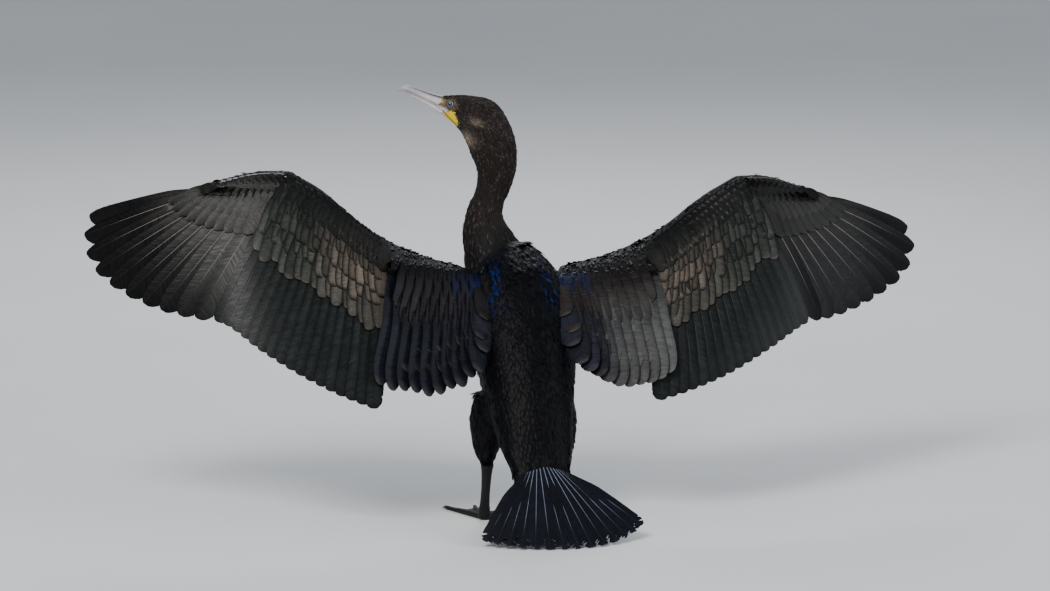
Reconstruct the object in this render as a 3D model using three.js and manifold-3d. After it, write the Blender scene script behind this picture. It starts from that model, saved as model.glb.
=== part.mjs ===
// A great cormorant drying its spread wings, life size, in millimetres.
// The bird faces +Y with its head turned to its own left, towards -X, and stands on the plane Z = 0.
// It is laid out from a point on the ground between its feet, then the whole group is shifted so that
// the middle of its bounding box lies over the origin.
import * as THREE from "three";
import { mergeVertices } from "three/addons/utils/BufferGeometryUtils.js";
import Module from "manifold-3d";

const wasm = await Module();
wasm.setup();

const V = (x, y, z) => new THREE.Vector3(x, y, z);
const mix = THREE.MathUtils.lerp;
const along = (a, b, t) => a.clone().lerp(b, t);
const dirOf = (from, to) => to.clone().sub(from).normalize();
const perp = (a, b) => a.clone().cross(b).normalize();
const moved = (p, d, s) => p.clone().addScaledVector(d, s);

// Driving sizes
const GAP = 0.3; // between nodes that meet
const FLIGHT_THICK = 0.9; // a flight feather's vane near its shaft
const COVERT_THICK = 0.9;
const EYE_R = 5.6;
const PRIMARIES = 10;
const SECONDARIES = 14;
const TAIL_FEATHERS = 12;
const SHINGLE = THREE.MathUtils.degToRad(7); // how far each flight feather turns to clear the next
const COVERT_SHINGLE = THREE.MathUtils.degToRad(5.5);

// Colours of the parts
const BLACK = new THREE.MeshStandardMaterial({ color: 0x14141a, roughness: 0.45 });
const BROWN = new THREE.MeshStandardMaterial({ color: 0x2c241f, roughness: 0.7 });
const BRONZE = new THREE.MeshStandardMaterial({ color: 0x2b2d2b, roughness: 0.5 });
const HORN = new THREE.MeshStandardMaterial({ color: 0xb9b6b4, roughness: 0.4 });
const LEATHER = new THREE.MeshStandardMaterial({ color: 0x17171b, roughness: 0.6 });
const CLAW = new THREE.MeshStandardMaterial({ color: 0x0c0c0e, roughness: 0.35 });
const EYE = new THREE.MeshStandardMaterial({ color: 0x9fb4bd, roughness: 0.1 });

// Solids from rings of points

// A closed solid from rings of equal length, each end closed by a fan to the middle of its ring.
function loft(rings) {
  const size = rings[0].length;
  const points = rings.flat();
  const faces = [];
  for (let r = 0; r + 1 < rings.length; r++) {
    for (let k = 0; k < size; k++) {
      const a = r * size + k;
      const b = r * size + ((k + 1) % size);
      faces.push([a, b, b + size], [a, b + size, a + size]);
    }
  }
  for (const [r, flip] of [[0, true], [rings.length - 1, false]]) {
    const middle = points.length;
    points.push(rings[r].reduce((s, p) => s.add(p), V(0, 0, 0)).divideScalar(size));
    for (let k = 0; k < size; k++) {
      const a = r * size + k;
      const b = r * size + ((k + 1) % size);
      faces.push(flip ? [b, a, middle] : [a, b, middle]);
    }
  }
  return closed(points, faces);
}

function closed(points, faces) {
  const volume = faces.reduce((s, [a, b, c]) => {
    return s + points[a].dot(points[b].clone().cross(points[c]));
  }, 0);
  const turned = volume < 0 ? faces.map(([a, b, c]) => [a, c, b]) : faces;
  return new wasm.Manifold(
    new wasm.Mesh({
      numProp: 3,
      vertProperties: new Float32Array(points.flatMap((p) => [p.x, p.y, p.z])),
      triVerts: new Uint32Array(turned.flat()),
    }),
  );
}

// An oval ring: half as wide as `wide` along side, `back` high towards up and `front` the other way.
function oval(centre, side, up, wide, back, front, sides) {
  return Array.from({ length: sides }, (_, k) => {
    const a = (2 * Math.PI * k) / sides;
    const rise = Math.sin(a) > 0 ? back : front;
    return moved(moved(centre, side, wide * Math.cos(a)), up, rise * Math.sin(a));
  });
}

// A body along a smooth curve through stations of {at, side, wide, back, front}.
function trunk(stations, steps, sides, grow = 0) {
  const path = new THREE.CatmullRomCurve3(stations.map((s) => s.at), false, "centripetal");
  const size = (name, t) => {
    const f = t * (stations.length - 1);
    const i = Math.min(Math.floor(f), stations.length - 2);
    const curve = [i - 1, i, i + 1, i + 2].map(
      (k) => stations[THREE.MathUtils.clamp(k, 0, stations.length - 1)][name],
    );
    return hermite(curve, f - i) + grow;
  };
  const rings = [];
  for (let k = 0; k <= steps; k++) {
    const t = k / steps;
    const centre = path.getPoint(t);
    const ahead = path.getTangent(t);
    const f = t * (stations.length - 1);
    const i = Math.min(Math.floor(f), stations.length - 2);
    const side = along(stations[i].side, stations[i + 1].side, f - i);
    side.addScaledVector(ahead, -side.dot(ahead)).normalize();
    const up = perp(side, ahead);
    const last = k === 0 ? -grow : k === steps ? grow : 0;
    rings.push(
      oval(moved(centre, ahead, last), side, up, size("wide", t), size("back", t), size("front", t), sides),
    );
  }
  return loft(rings);
}

function hermite([a, b, c, d], t) {
  const from = (c - a) / 2;
  const to = (d - b) / 2;
  const cube = t * t * t;
  const square = t * t;
  return (
    (2 * cube - 3 * square + 1) * b +
    (cube - 2 * square + t) * from +
    (3 * square - 2 * cube) * c +
    (cube - square) * to
  );
}

// A feather vane along centres, with its dorsal direction, half widths and thickness at each of them.
// leads point to the side of the leading edge, and roll lifts that edge. The last centre is the tip.
function vane(centres, ups, leads, widths, leadShare, thick, roll) {
  const rings = [];
  const count = centres.length;
  for (let k = 0; k < count - 1; k++) {
    const ahead = dirOf(centres[Math.max(k - 1, 0)], centres[k + 1]);
    const flat = leads[k].clone().addScaledVector(ahead, -leads[k].dot(ahead)).normalize();
    let up = perp(flat, ahead);
    if (up.dot(ups[k]) < 0) up.negate();
    const side = flat.clone().multiplyScalar(Math.cos(roll)).addScaledVector(up, Math.sin(roll));
    up = up.multiplyScalar(Math.cos(roll)).addScaledVector(flat, -Math.sin(roll));
    const half = (thick * mix(1, 0.6, k / (count - 1))) / 2;
    const rim = half * 0.55;
    const front = moved(centres[k], side, widths[k] * leadShare);
    const rear = moved(centres[k], side, -widths[k] * (1 - leadShare));
    rings.push([
      moved(front, up, rim),
      moved(centres[k], up, half),
      moved(rear, up, rim),
      moved(rear, up, -rim),
      moved(centres[k], up, -half),
      moved(front, up, -rim),
    ]);
  }
  const points = rings.flat();
  const faces = [];
  for (let r = 0; r + 1 < rings.length; r++) {
    const [a, b] = [r * 6, r * 6 + 6];
    // Top and bottom halves are split along the same diagonals, so that the two faces stay parallel.
    faces.push([a, a + 1, b + 1], [a, b + 1, b], [a + 1, a + 2, b + 1], [a + 2, b + 2, b + 1]);
    faces.push([a + 5, b + 4, a + 4], [a + 5, b + 5, b + 4], [a + 4, b + 4, a + 3], [a + 3, b + 4, b + 3]);
    faces.push([a + 2, a + 3, b + 3], [a + 2, b + 3, b + 2], [a + 5, a, b], [a + 5, b, b + 5]);
  }
  const end = (rings.length - 1) * 6;
  const tip = points.length;
  points.push(centres[count - 1]);
  for (let k = 0; k < 6; k++) faces.push([end + k, end + ((k + 1) % 6), tip]);
  faces.push([0, 5, 1], [1, 5, 4], [1, 4, 2], [2, 4, 3]);
  return closed(points, faces);
}

// A covert's vane: as above, with one ridge along its middle on each face.
function scale(centres, ups, leads, widths, leadShare, thick, roll) {
  const rings = [];
  const count = centres.length;
  for (let k = 0; k < count - 1; k++) {
    const ahead = dirOf(centres[Math.max(k - 1, 0)], centres[k + 1]);
    const flat = leads[k].clone().addScaledVector(ahead, -leads[k].dot(ahead)).normalize();
    let up = perp(flat, ahead);
    if (up.dot(ups[k]) < 0) up.negate();
    const side = flat.clone().multiplyScalar(Math.cos(roll)).addScaledVector(up, Math.sin(roll));
    up = up.multiplyScalar(Math.cos(roll)).addScaledVector(flat, -Math.sin(roll));
    rings.push([
      moved(centres[k], side, widths[k] * leadShare),
      moved(centres[k], up, thick / 2),
      moved(centres[k], side, -widths[k] * (1 - leadShare)),
      moved(centres[k], up, -thick / 2),
    ]);
  }
  const points = rings.flat();
  const faces = [];
  for (let r = 0; r + 1 < rings.length; r++) {
    const [a, b] = [r * 4, r * 4 + 4];
    faces.push([a, a + 1, b + 1], [a, b + 1, b], [a + 1, a + 2, b + 1], [a + 2, b + 2, b + 1]);
    faces.push([a, b + 3, a + 3], [a, b, b + 3], [a + 3, b + 3, a + 2], [a + 2, b + 3, b + 2]);
  }
  const end = (rings.length - 1) * 4;
  const tip = points.length;
  points.push(centres[count - 1]);
  for (let k = 0; k < 4; k++) faces.push([end + k, end + ((k + 1) % 4), tip]);
  faces.push([0, 3, 1], [1, 3, 2]);
  return closed(points, faces);
}

const joined = (list) => wasm.Manifold.union(list);

// The largest closed surface of a solid, which drops sealed hollows and loose scraps.
function largest(solid) {
  const bodies = solid.decompose();
  return bodies.reduce((best, b) => (b.volume() > best.volume() ? b : best));
}

// The body: torso, neck and head as stations along one line from the tail to the forehead

const ACROSS = V(1, 0, 0);
const TORSO = [
  { at: V(-8, -100, 82), side: ACROSS, wide: 40, back: 13, front: 14 },
  { at: V(-8, -76, 108), side: ACROSS, wide: 50, back: 24, front: 26 },
  { at: V(-7, -42, 150), side: ACROSS, wide: 59, back: 41, front: 52 },
  { at: V(-3, 2, 205), side: ACROSS, wide: 69, back: 52, front: 74 },
  { at: V(0, 46, 258), side: ACROSS, wide: 76, back: 57, front: 82 },
  { at: V(-2, 86, 306), side: ACROSS, wide: 74, back: 55, front: 70 },
  { at: V(-10, 112, 338), side: ACROSS, wide: 58, back: 42, front: 50 },
  { at: V(-18, 124, 356), side: ACROSS, wide: 44, back: 32, front: 38 },
];
const torsoOf = (grow) => trunk(TORSO, 16, 20, grow);

// The head looks along -X, turned from the body's +Y, so the line's side turns from X to -Y.
const HEAD_SIDE = V(0.24, 0.97, 0);
const HEAD_AHEAD = V(-0.9, 0.22, 0.37).normalize();
const NECK = [
  { at: V(-16, 118, 336), side: ACROSS, wide: 50, back: 38, front: 42 },
  { at: V(-25, 129, 364), side: ACROSS, wide: 40, back: 31, front: 35 },
  { at: V(-31, 136, 389), side: ACROSS, wide: 33, back: 27, front: 30 },
  { at: V(-31, 138, 411), side: V(0.8, 0.3, 0), wide: 27, back: 25, front: 26 },
  { at: V(-25, 136, 434), side: V(0.6, 0.7, 0), wide: 23, back: 23, front: 23 },
  { at: V(-19, 132, 455), side: HEAD_SIDE, wide: 21, back: 25, front: 25 },
  { at: V(-17, 128, 478), side: HEAD_SIDE, wide: 21, back: 29, front: 29 },
  { at: V(-21, 125, 502), side: HEAD_SIDE, wide: 22, back: 33, front: 33 },
  { at: V(-30, 125, 526), side: HEAD_SIDE, wide: 23, back: 35, front: 33 },
  { at: V(-44, 128, 544), side: HEAD_SIDE, wide: 22.5, back: 37, front: 30 },
  { at: V(-60, 132, 555), side: HEAD_SIDE, wide: 20, back: 29, front: 24 },
  { at: V(-76, 136, 563), side: HEAD_SIDE, wide: 15.5, back: 21, front: 19.5 },
  { at: V(-90, 139, 569), side: HEAD_SIDE, wide: 11, back: 13.6, front: 15 },
  { at: V(-97.5, 141.3, 571.9), side: HEAD_SIDE, wide: 8.9, back: 10.4, front: 13 },
];
const neckAndHead = trunk(NECK, 28, 16);
const neckRoom = trunk(NECK, 28, 16, GAP);

// The bill: an upper mandible with a hooked nail over a thinner lower one

const BILL_ROOT = V(-88, 139, 568);
const BILL_UP = perp(HEAD_AHEAD, HEAD_SIDE).multiplyScalar(-1);
if (BILL_UP.z < 0) BILL_UP.negate();
// A point on the head's own axes: forward from the bill's root, to its left, and up.
const onHead = (ahead, left, up) =>
  moved(moved(moved(BILL_ROOT, HEAD_AHEAD, ahead), HEAD_SIDE, -left), BILL_UP, up);

// Rows of distance ahead of the root, half width, top and bottom.
const UPPER_BILL = [
  [1, 8.6, 11.6, -6.6],
  [8, 7.9, 10.3, -5.4],
  [20, 6.4, 8.3, -3.8],
  [38, 5.0, 7.0, -2.6],
  [50, 4.4, 6.9, -2.5],
  [58, 4.0, 6.2, -2.9],
  [63.5, 3.0, 3.8, -4.4],
  [67, 1.8, 0.2, -6.6],
  [68.3, 0.8, -4.6, -7.6],
];
const LOWER_BILL = [
  [1, 8.0, -5.6, -15.4],
  [8, 7.4, -5.4, -13.9],
  [20, 5.8, -4.6, -11.2],
  [38, 4.6, -3.4, -8.4],
  [50, 3.9, -3.2, -7.4],
  [59, 2.4, -3.7, -5.8],
];

// A mandible from rows of distance ahead, half width, top and bottom.
function mandible(rows, grow = 0) {
  const last = rows.length - 1;
  return loft(
    rows.map(([ahead, wide, top, bottom], k) => {
      const shift = k === 0 ? -grow : k === last ? grow : 0;
      const centre = onHead(ahead + shift, 0, (top + bottom) / 2);
      const tall = (top - bottom) / 2 + grow;
      return oval(centre, HEAD_SIDE, BILL_UP, wide + grow, tall, tall, 12);
    }),
  );
}

// Eyes, with lids as low rings round them

const EYE_AHEAD = -6.4;
const EYE_UP = 4.8;
const EYE_OUT = 9;
const eyeCentre = (left) => onHead(EYE_AHEAD, left * EYE_OUT, EYE_UP);

function ball(centre, radius, wide = 16, tall = 10) {
  return fromGeometry(new THREE.SphereGeometry(radius, wide, tall).translate(centre.x, centre.y, centre.z));
}

function fromGeometry(geometry) {
  geometry.deleteAttribute("normal");
  geometry.deleteAttribute("uv");
  const merged = mergeVertices(geometry, 1e-4);
  return new wasm.Manifold(
    new wasm.Mesh({
      numProp: 3,
      vertProperties: new Float32Array(merged.attributes.position.array),
      triVerts: new Uint32Array(merged.index.array),
    }),
  );
}

// A ring of flesh round the eye, facing sideways.
function eyelid(left) {
  const out = HEAD_SIDE.clone().multiplyScalar(-left);
  const torus = new THREE.TorusGeometry(EYE_R * 0.86, 1.3, 6, 16);
  const turn = new THREE.Quaternion().setFromUnitVectors(V(0, 0, 1), out);
  torus.applyQuaternion(turn);
  const centre = moved(eyeCentre(left), out, EYE_R * 0.46);
  return fromGeometry(torus.translate(centre.x, centre.y, centre.z));
}

// Wings

// The joints and edges of each wing, for the bird's left at -X and its right at +X.
const WINGS = {
  left: {
    hand: -1,
    shoulder: V(-64, 92, 322),
    elbow: V(-202, 30, 362),
    wrist: V(-333, 87, 471),
    handEnd: V(-424, 117, 469),
    leading: [V(-84, 122, 334), V(-150, 104, 366), V(-222, 98, 413), V(-272, 101, 460), V(-318, 104, 489)],
    handLeading: [V(-318, 104, 489), V(-360, 112, 490), V(-424, 121, 476)],
    trailing: [
      V(-240, -92, 178),
      V(-290, -78, 198),
      V(-340, -58, 224),
      V(-390, -30, 256),
      V(-435, 8, 290),
      V(-465, 36, 294),
      V(-510, 66, 303),
      V(-560, 94, 325),
      V(-598, 116, 358),
      V(-609, 128, 396),
      V(-598, 132, 438),
    ],
    humeralTips: [V(-240, -84, 214), V(-180, -92, 198), V(-128, -84, 204), V(-84, -66, 226)],
  },
  right: {
    hand: 1,
    shoulder: V(64, 92, 316),
    elbow: V(190, 30, 340),
    wrist: V(338, 87, 440),
    handEnd: V(428, 117, 428),
    leading: [V(80, 122, 330), V(142, 104, 352), V(212, 98, 387), V(272, 101, 430), V(324, 104, 458)],
    handLeading: [V(324, 104, 458), V(368, 112, 456), V(428, 121, 436)],
    trailing: [
      V(158, -92, 172),
      V(214, -80, 184),
      V(274, -60, 201),
      V(340, -32, 228),
      V(405, 4, 256),
      V(446, 36, 256),
      V(496, 66, 264),
      V(544, 94, 280),
      V(582, 114, 302),
      V(601, 128, 334),
      V(588, 132, 374),
    ],
    humeralTips: [V(184, -84, 213), V(150, -92, 196), V(104, -84, 200), V(56, -64, 230)],
  },
};

// A wing's surface. span runs over the feathers, from 0 at the elbow through 1 at the wrist to 2 at the hand's end.
// chord is the distance behind the bones, or before them if negative, and height is measured from the mid surface.
function wingSurface(w) {
  const bones = [w.elbow, w.wrist, w.handEnd];
  const edge = new THREE.CatmullRomCurve3(w.trailing);
  const front = new THREE.CatmullRomCurve3(w.leading);
  const handFront = new THREE.CatmullRomCurve3(w.handLeading);
  const secondaryShare = 0.5; // of the trailing edge's length
  const bone = (span) => {
    const i = span < 1 ? 0 : 1;
    return along(bones[i], bones[i + 1], span - i);
  };
  const tip = (span) => {
    const share = span < 1 ? span * secondaryShare : mix(secondaryShare, 1, span - 1);
    return edge.getPointAt(THREE.MathUtils.clamp(share, 0, 1));
  };
  // The forearm's part of the leading edge begins at this share of its curve.
  const elbowShare = 0.42;
  const fore = (span) =>
    span < 1 ? front.getPointAt(mix(elbowShare, 1, Math.max(span, 0))) : handFront.getPointAt(span - 1);
  const back = (span) => dirOf(bone(span), tip(span));
  const outward = (span) => dirOf(bone(span < 1 ? 0 : 0.9), bone(span < 1 ? 1 : 2));
  // The direction from one feather to the next, at a share of the way to their tips.
  const lead = (span, share) => {
    const near = 0.06;
    const tips = dirOf(tip(Math.max(span - near, 0)), tip(Math.min(span + near, 2)));
    return along(outward(span), tips, THREE.MathUtils.clamp(share, 0, 1)).normalize();
  };
  const handDorsal = perp(dirOf(tip(1.1), tip(1.95)), back(1.4)).multiplyScalar(w.hand);
  if (handDorsal.y > 0) handDorsal.negate();
  const dorsal = (span) => {
    if (span > 1.25) return handDorsal.clone();
    const near = 0.15;
    const n = V(0, 0, 0);
    for (const s of [span - near, span, span + near]) {
      const c = THREE.MathUtils.clamp(s, 0, 2);
      const lateral = dirOf(tip(Math.max(c - 0.1, 0)), tip(Math.min(c + 0.1, 2)))
        .add(outward(c))
        .normalize();
      n.add(perp(lateral, back(c)).multiplyScalar(w.hand));
    }
    n.normalize();
    if (n.y > 0) n.negate();
    const turn = THREE.MathUtils.clamp((span - 0.85) / 0.4, 0, 1);
    return along(n, handDorsal, turn).normalize();
  };
  // The patagium's dorsal direction, before the bones.
  const foreDorsal = (span) => {
    const n = perp(dirOf(fore(span), bone(span)), outward(span));
    return n.dot(dorsal(span)) < 0 ? n.negate() : n;
  };
  const point = (span, chord, height) => {
    const base = bone(span);
    if (chord >= 0) {
      const t = chord / base.distanceTo(tip(span));
      const camber = 0.05 * chord * 4 * Math.max(1 - t, 0);
      return moved(moved(base, back(span), chord), dorsal(span), height + camber);
    }
    const ahead = dirOf(base, fore(span));
    const blend = THREE.MathUtils.clamp(-chord / 30, 0, 1);
    const n = along(dorsal(span), foreDorsal(span), blend).normalize();
    return moved(moved(base, ahead, -chord), n, height);
  };
  const depth = (span) => fore(span).distanceTo(bone(span));
  return { bone, tip, fore, back, dorsal, point, depth, outward, lead };
}

// Rows of coverts, each by where it roots before the bones as a share of the patagium, how far it reaches
// behind the bones as a share of the flight feathers, its height over them, and its feathers' width.
const COVERT_ROWS = [
  { from: 0.1, reach: 0.48, height: 6.2, width: 22, fall: 2.2 },
  { from: 0.45, reach: 0.22, height: 11, width: 22, fall: 0.4 },
];

// One flight feather from its follicle behind the bones to its tip.
function flightFeather(s, span, width, share, lift, grow = 0) {
  const length = s.bone(span).distanceTo(s.tip(span));
  const up = s.dorsal(span);
  const steps = [0, 0.2, 0.5, 0.84, 1];
  const centres = steps.map((t) => s.point(span, mix(1, length, t), lift * (1 - t)));
  const widths = steps.map((t, k) => width * [0.16, 0.62, 1, 0.84, 0][k] + grow * 2);
  const thick = FLIGHT_THICK + 2 * grow;
  const leads = steps.map((t) => s.lead(span, t));
  return vane(centres, steps.map(() => up), leads, widths, share, thick, SHINGLE);
}

// One covert, rising from inside the arm to its row's height and lying back over the row below.
function covert(s, span, row, reach, width, lift = 0, grow = 0) {
  const root = -row.from * s.depth(span);
  const rise = root + 11;
  const high = row.height + lift;
  const tipHeight = high - row.fall;
  const end = Math.max(reach, rise + 24);
  const stops = [root, rise, mix(rise, end, 0.72), end];
  const heights = [1.5, high, mix(high, tipHeight, 0.72), tipHeight];
  const centres = stops.map((c, k) => s.point(span, c, heights[k]));
  const widths = [0.4, 0.86, 0.94, 0].map((f) => f * width + grow * 2);
  const ups = stops.map(() => s.dorsal(span));
  const length = s.bone(span).distanceTo(s.tip(span));
  const leads = stops.map((c) => s.lead(span, c / length));
  return scale(centres, ups, leads, widths, 0.42, COVERT_THICK + 2 * grow, COVERT_SHINGLE);
}

// The long feathers that close the gap between the wing and the body, in two tiers over the upper arm.
// inner runs from 0 at the elbow to 1 at the shoulder, and gather draws the roots towards the shoulder.
const HUMERAL_TIERS = [
  { count: 6, gather: 0.3, reach: 1, width: 38, height: 13, drop: 0 },
  { count: 4, gather: 0, reach: 0.62, width: 40, height: 19, drop: 18.5 },
];
function humeralFeather(w, s, edge, inner, tier) {
  const root = along(w.elbow, w.shoulder, mix(tier.gather, 1, inner));
  const end = along(root, edge.getPointAt(inner), tier.reach);
  const run = dirOf(root, end);
  const lateral = dirOf(w.shoulder, w.elbow);
  let up = perp(lateral, run).multiplyScalar(w.hand);
  if (up.y > 0) up = up.negate();
  const steps = [0, 0.1, 0.45, 0.82, 1];
  const heights = [3, tier.height, tier.height + 3, mix(tier.height, tier.drop, 0.6), tier.drop];
  const centres = steps.map((t, k) => moved(along(root, end, t), up, heights[k]));
  const widths = [0.4, 0.75, 1, 0.84, 0].map((f) => f * tier.width);
  const leads = steps.map(() => lateral);
  return vane(centres, steps.map(() => up), leads, widths, 0.45, FLIGHT_THICK, SHINGLE);
}

// A flattened, rounded section of the wing's flesh between its leading edge and the back of its bones.
function fleshRing(front, back, up, thick) {
  const chord = [0, 0.12, 0.4, 0.75, 1];
  const upper = [0, 0.72, 1, 0.8, 0.3];
  const lower = [0, 0.6, 0.85, 0.6, 0.3];
  const top = chord.map((c, k) => moved(along(front, back, c), up, (upper[k] * thick) / 2));
  const under = chord.map((c, k) => moved(along(front, back, c), up, (-lower[k] * thick) / 2));
  return [...top, ...under.slice(1).reverse()];
}

function wingFlesh(w, s, grow) {
  const back = 10 + grow; // how far the flesh reaches behind the bones
  const innerFront = new THREE.CatmullRomCurve3(w.leading);
  const rings = [];
  for (let k = 0; k <= 4; k++) {
    const t = k / 4;
    const bone = along(w.shoulder, w.elbow, t);
    const front = innerFront.getPointAt(0.42 * t);
    const rear = moved(bone, dirOf(front, bone), mix(22, back, t));
    const up = perp(dirOf(front, rear), dirOf(w.shoulder, w.elbow));
    if (up.dot(s.dorsal(0)) < 0) up.negate();
    rings.push(fleshRing(front, rear, up, mix(34, 19, t) + 2 * grow));
  }
  for (let k = 1; k <= 6; k++) {
    const span = k / 6;
    const rear = s.point(span, back, 0);
    const up = perp(dirOf(s.fore(span), rear), s.outward(span));
    if (up.dot(s.dorsal(span)) < 0) up.negate();
    rings.push(fleshRing(s.fore(span), rear, up, mix(19, 15, span) + 2 * grow));
  }
  for (let k = 1; k <= 4; k++) {
    const span = 1 + k / 4;
    const rear = s.point(span, mix(back, 7, k / 4), 0);
    const up = s.dorsal(span);
    rings.push(fleshRing(s.fore(span), rear, up, mix(15, 9, k / 4) + 2 * grow));
  }
  return loft(rings);
}

function wing(w) {
  const s = wingSurface(w);
  const flesh = wingFlesh(w, s, 0);

  const forearm = [];
  const forearmRoom = [];
  const elbowRoom = [];
  const hand = [];
  const upper = [];
  const humeralEdge = new THREE.CatmullRomCurve3(w.humeralTips);
  for (const tier of HUMERAL_TIERS) {
    for (let i = 0; i < tier.count; i++) {
      upper.push(humeralFeather(w, s, humeralEdge, mix(0.06, 0.94, i / (tier.count - 1)), tier));
    }
  }
  for (let i = 0; i < SECONDARIES; i++) {
    const span = mix(0.03, 0.95, i / (SECONDARIES - 1));
    forearm.push(flightFeather(s, span, 25, 0.42, 0));
    if (i > SECONDARIES - 4) forearmRoom.push(flightFeather(s, span, 25, 0.42, 0, GAP));
    if (i < 3) elbowRoom.push(flightFeather(s, span, 25, 0.42, 0, GAP));
  }
  for (let i = 0; i < PRIMARIES; i++) {
    const t = i / (PRIMARIES - 1);
    const span = mix(1.07, 1.97, t);
    hand.push(flightFeather(s, span, mix(33, 25, t * t), mix(0.38, 0.28, t), -2.6 * t));
  }
  COVERT_ROWS.forEach((row, r) => {
    const count = SECONDARIES - 1 - 2 * r;
    for (let i = 0; i < count; i++) {
      const span = mix(0.05, 0.93, i / (count - 1));
      const length = s.bone(span).distanceTo(s.tip(span));
      forearm.push(covert(s, span, row, row.reach * length, row.width));
      if (i > count - 4) forearmRoom.push(covert(s, span, row, row.reach * length, row.width, 0, GAP));
      if (i < 4) elbowRoom.push(covert(s, span, row, row.reach * length, row.width, 0, GAP));
    }
  });
  const count = 6;
  for (let i = 0; i < count; i++) {
    const t = i / (count - 1);
    const span = mix(1.12, 1.9, t);
    const length = s.bone(span).distanceTo(s.tip(span));
    const row = COVERT_ROWS[0];
    hand.push(covert(s, span, row, (row.reach - 0.12) * length, mix(22, 15, t), -2 * t));
  }
  return { s, flesh, upper, forearm, forearmRoom, elbowRoom, hand };
}

// Cutting planes at the elbow and the wrist, square to the arm.
function cut(solid, at, normal, side) {
  const n = normal.clone().multiplyScalar(side);
  const offset = n.dot(at) + GAP / 2;
  return solid.trimByPlane([n.x, n.y, n.z], offset);
}

// Nodes

const bird = new THREE.Group();

function addNode(name, solid, material) {
  const mesh = solid.getMesh();
  const geometry = new THREE.BufferGeometry();
  geometry.setAttribute("position", new THREE.BufferAttribute(mesh.vertProperties, 3));
  geometry.setIndex(new THREE.BufferAttribute(mesh.triVerts, 1));
  geometry.computeVertexNormals();
  const made = new THREE.Mesh(geometry, material);
  made.name = name;
  bird.add(made);
  return made;
}

const torso = torsoOf(0);
const torsoRoom = torsoOf(GAP);

for (const [name, w] of Object.entries(WINGS)) {
  const { s, flesh, upper, forearm, forearmRoom, elbowRoom, hand } = wing(w);
  const elbowNormal = dirOf(w.shoulder, w.wrist);
  const wristNormal = s.outward(0.5);
  const elbowCut = moved(w.elbow, elbowNormal, -6);
  const fleshRoom = wingFlesh(w, s, GAP);
  const inner = joined([cut(flesh, elbowCut, elbowNormal, -1), ...upper]);
  const arm = inner.subtract(joined([torsoRoom, neckRoom, ...elbowRoom, cut(fleshRoom, elbowCut, elbowNormal, 1)]));
  const middle = cut(cut(flesh, elbowCut, elbowNormal, 1), w.wrist, wristNormal, -1);
  const outer = cut(flesh, w.wrist, wristNormal, 1);
  addNode(`wing_${name}_upper_arm`, largest(arm), BLACK);
  addNode(`wing_${name}_forearm`, largest(joined([middle, ...forearm])), BRONZE);
  const quills = cut(joined(hand), w.wrist, wristNormal, 1);
  addNode(`wing_${name}_hand`, largest(joined([outer, quills]).subtract(joined(forearmRoom))), BLACK);
}

// Tail: stiff feathers fanned from a fleshy root, their ends resting on the ground.

const TAIL_ROOT = V(-8, -84, 92);
const TAIL_BASE = [
  { at: V(-8, -78, 100), side: ACROSS, wide: 45, back: 20, front: 20 },
  { at: V(-8, -100, 78), side: ACROSS, wide: 43, back: 15, front: 15 },
  { at: V(-6, -122, 60), side: ACROSS, wide: 40, back: 10, front: 10 },
  { at: V(-4, -138, 48), side: ACROSS, wide: 30, back: 4.5, front: 4.5 },
];
function tail() {
  const base = trunk(TAIL_BASE, 8, 16).subtract(torsoRoom);
  const feathers = [];
  const spread = THREE.MathUtils.degToRad(42);
  for (let i = 0; i < TAIL_FEATHERS; i++) {
    const t = (2 * i) / (TAIL_FEATHERS - 1) - 1; // -1 at the left edge, 1 at the right
    const angle = t * spread;
    const length = mix(180, 166, t * t);
    // The middle pair lie uppermost, each outer feather under the one beside it.
    const rise = 4.5 * (1 - Math.abs(t));
    const reach = Math.sin(angle) * length;
    const back = Math.cos(angle) * length;
    // Only the middle tips rest on the ground, and the fan's edges lift, the right one more.
    const foot = V(reach + 4, TAIL_ROOT.y - back * 0.76, 0.7 + 13 * t * t + 6 * t * t * t);
    const root = V(TAIL_ROOT.x + Math.sin(angle) * 42, TAIL_ROOT.y - 24, 71 + rise);
    const run = dirOf(root, foot);
    const up = perp(V(Math.cos(angle), Math.sin(angle), 0), run);
    if (up.z < 0) up.negate();
    const lead = V(Math.sign(t), 0, 0);
    const steps = [0, 0.3, 0.65, 0.9, 1];
    const sag = 5;
    const centres = steps.map((f) =>
      moved(along(root, foot, f), up, sag * 4 * f * (1 - f) + rise * (1 - f)),
    );
    const widths = [9, 17, 22, 18, 0];
    const leads = steps.map(() => lead);
    feathers.push(vane(centres, steps.map(() => up), leads, widths, 0.45, 1.2, -SHINGLE * 0.9));
  }
  return largest(joined([base, ...feathers]));
}
const tailSolid = tail();
addNode("torso", torso, BLACK);
addNode("tail", tailSolid.subtract(torsoRoom), BLACK);

// Head and neck, parted by planes square to the neck's line

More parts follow.
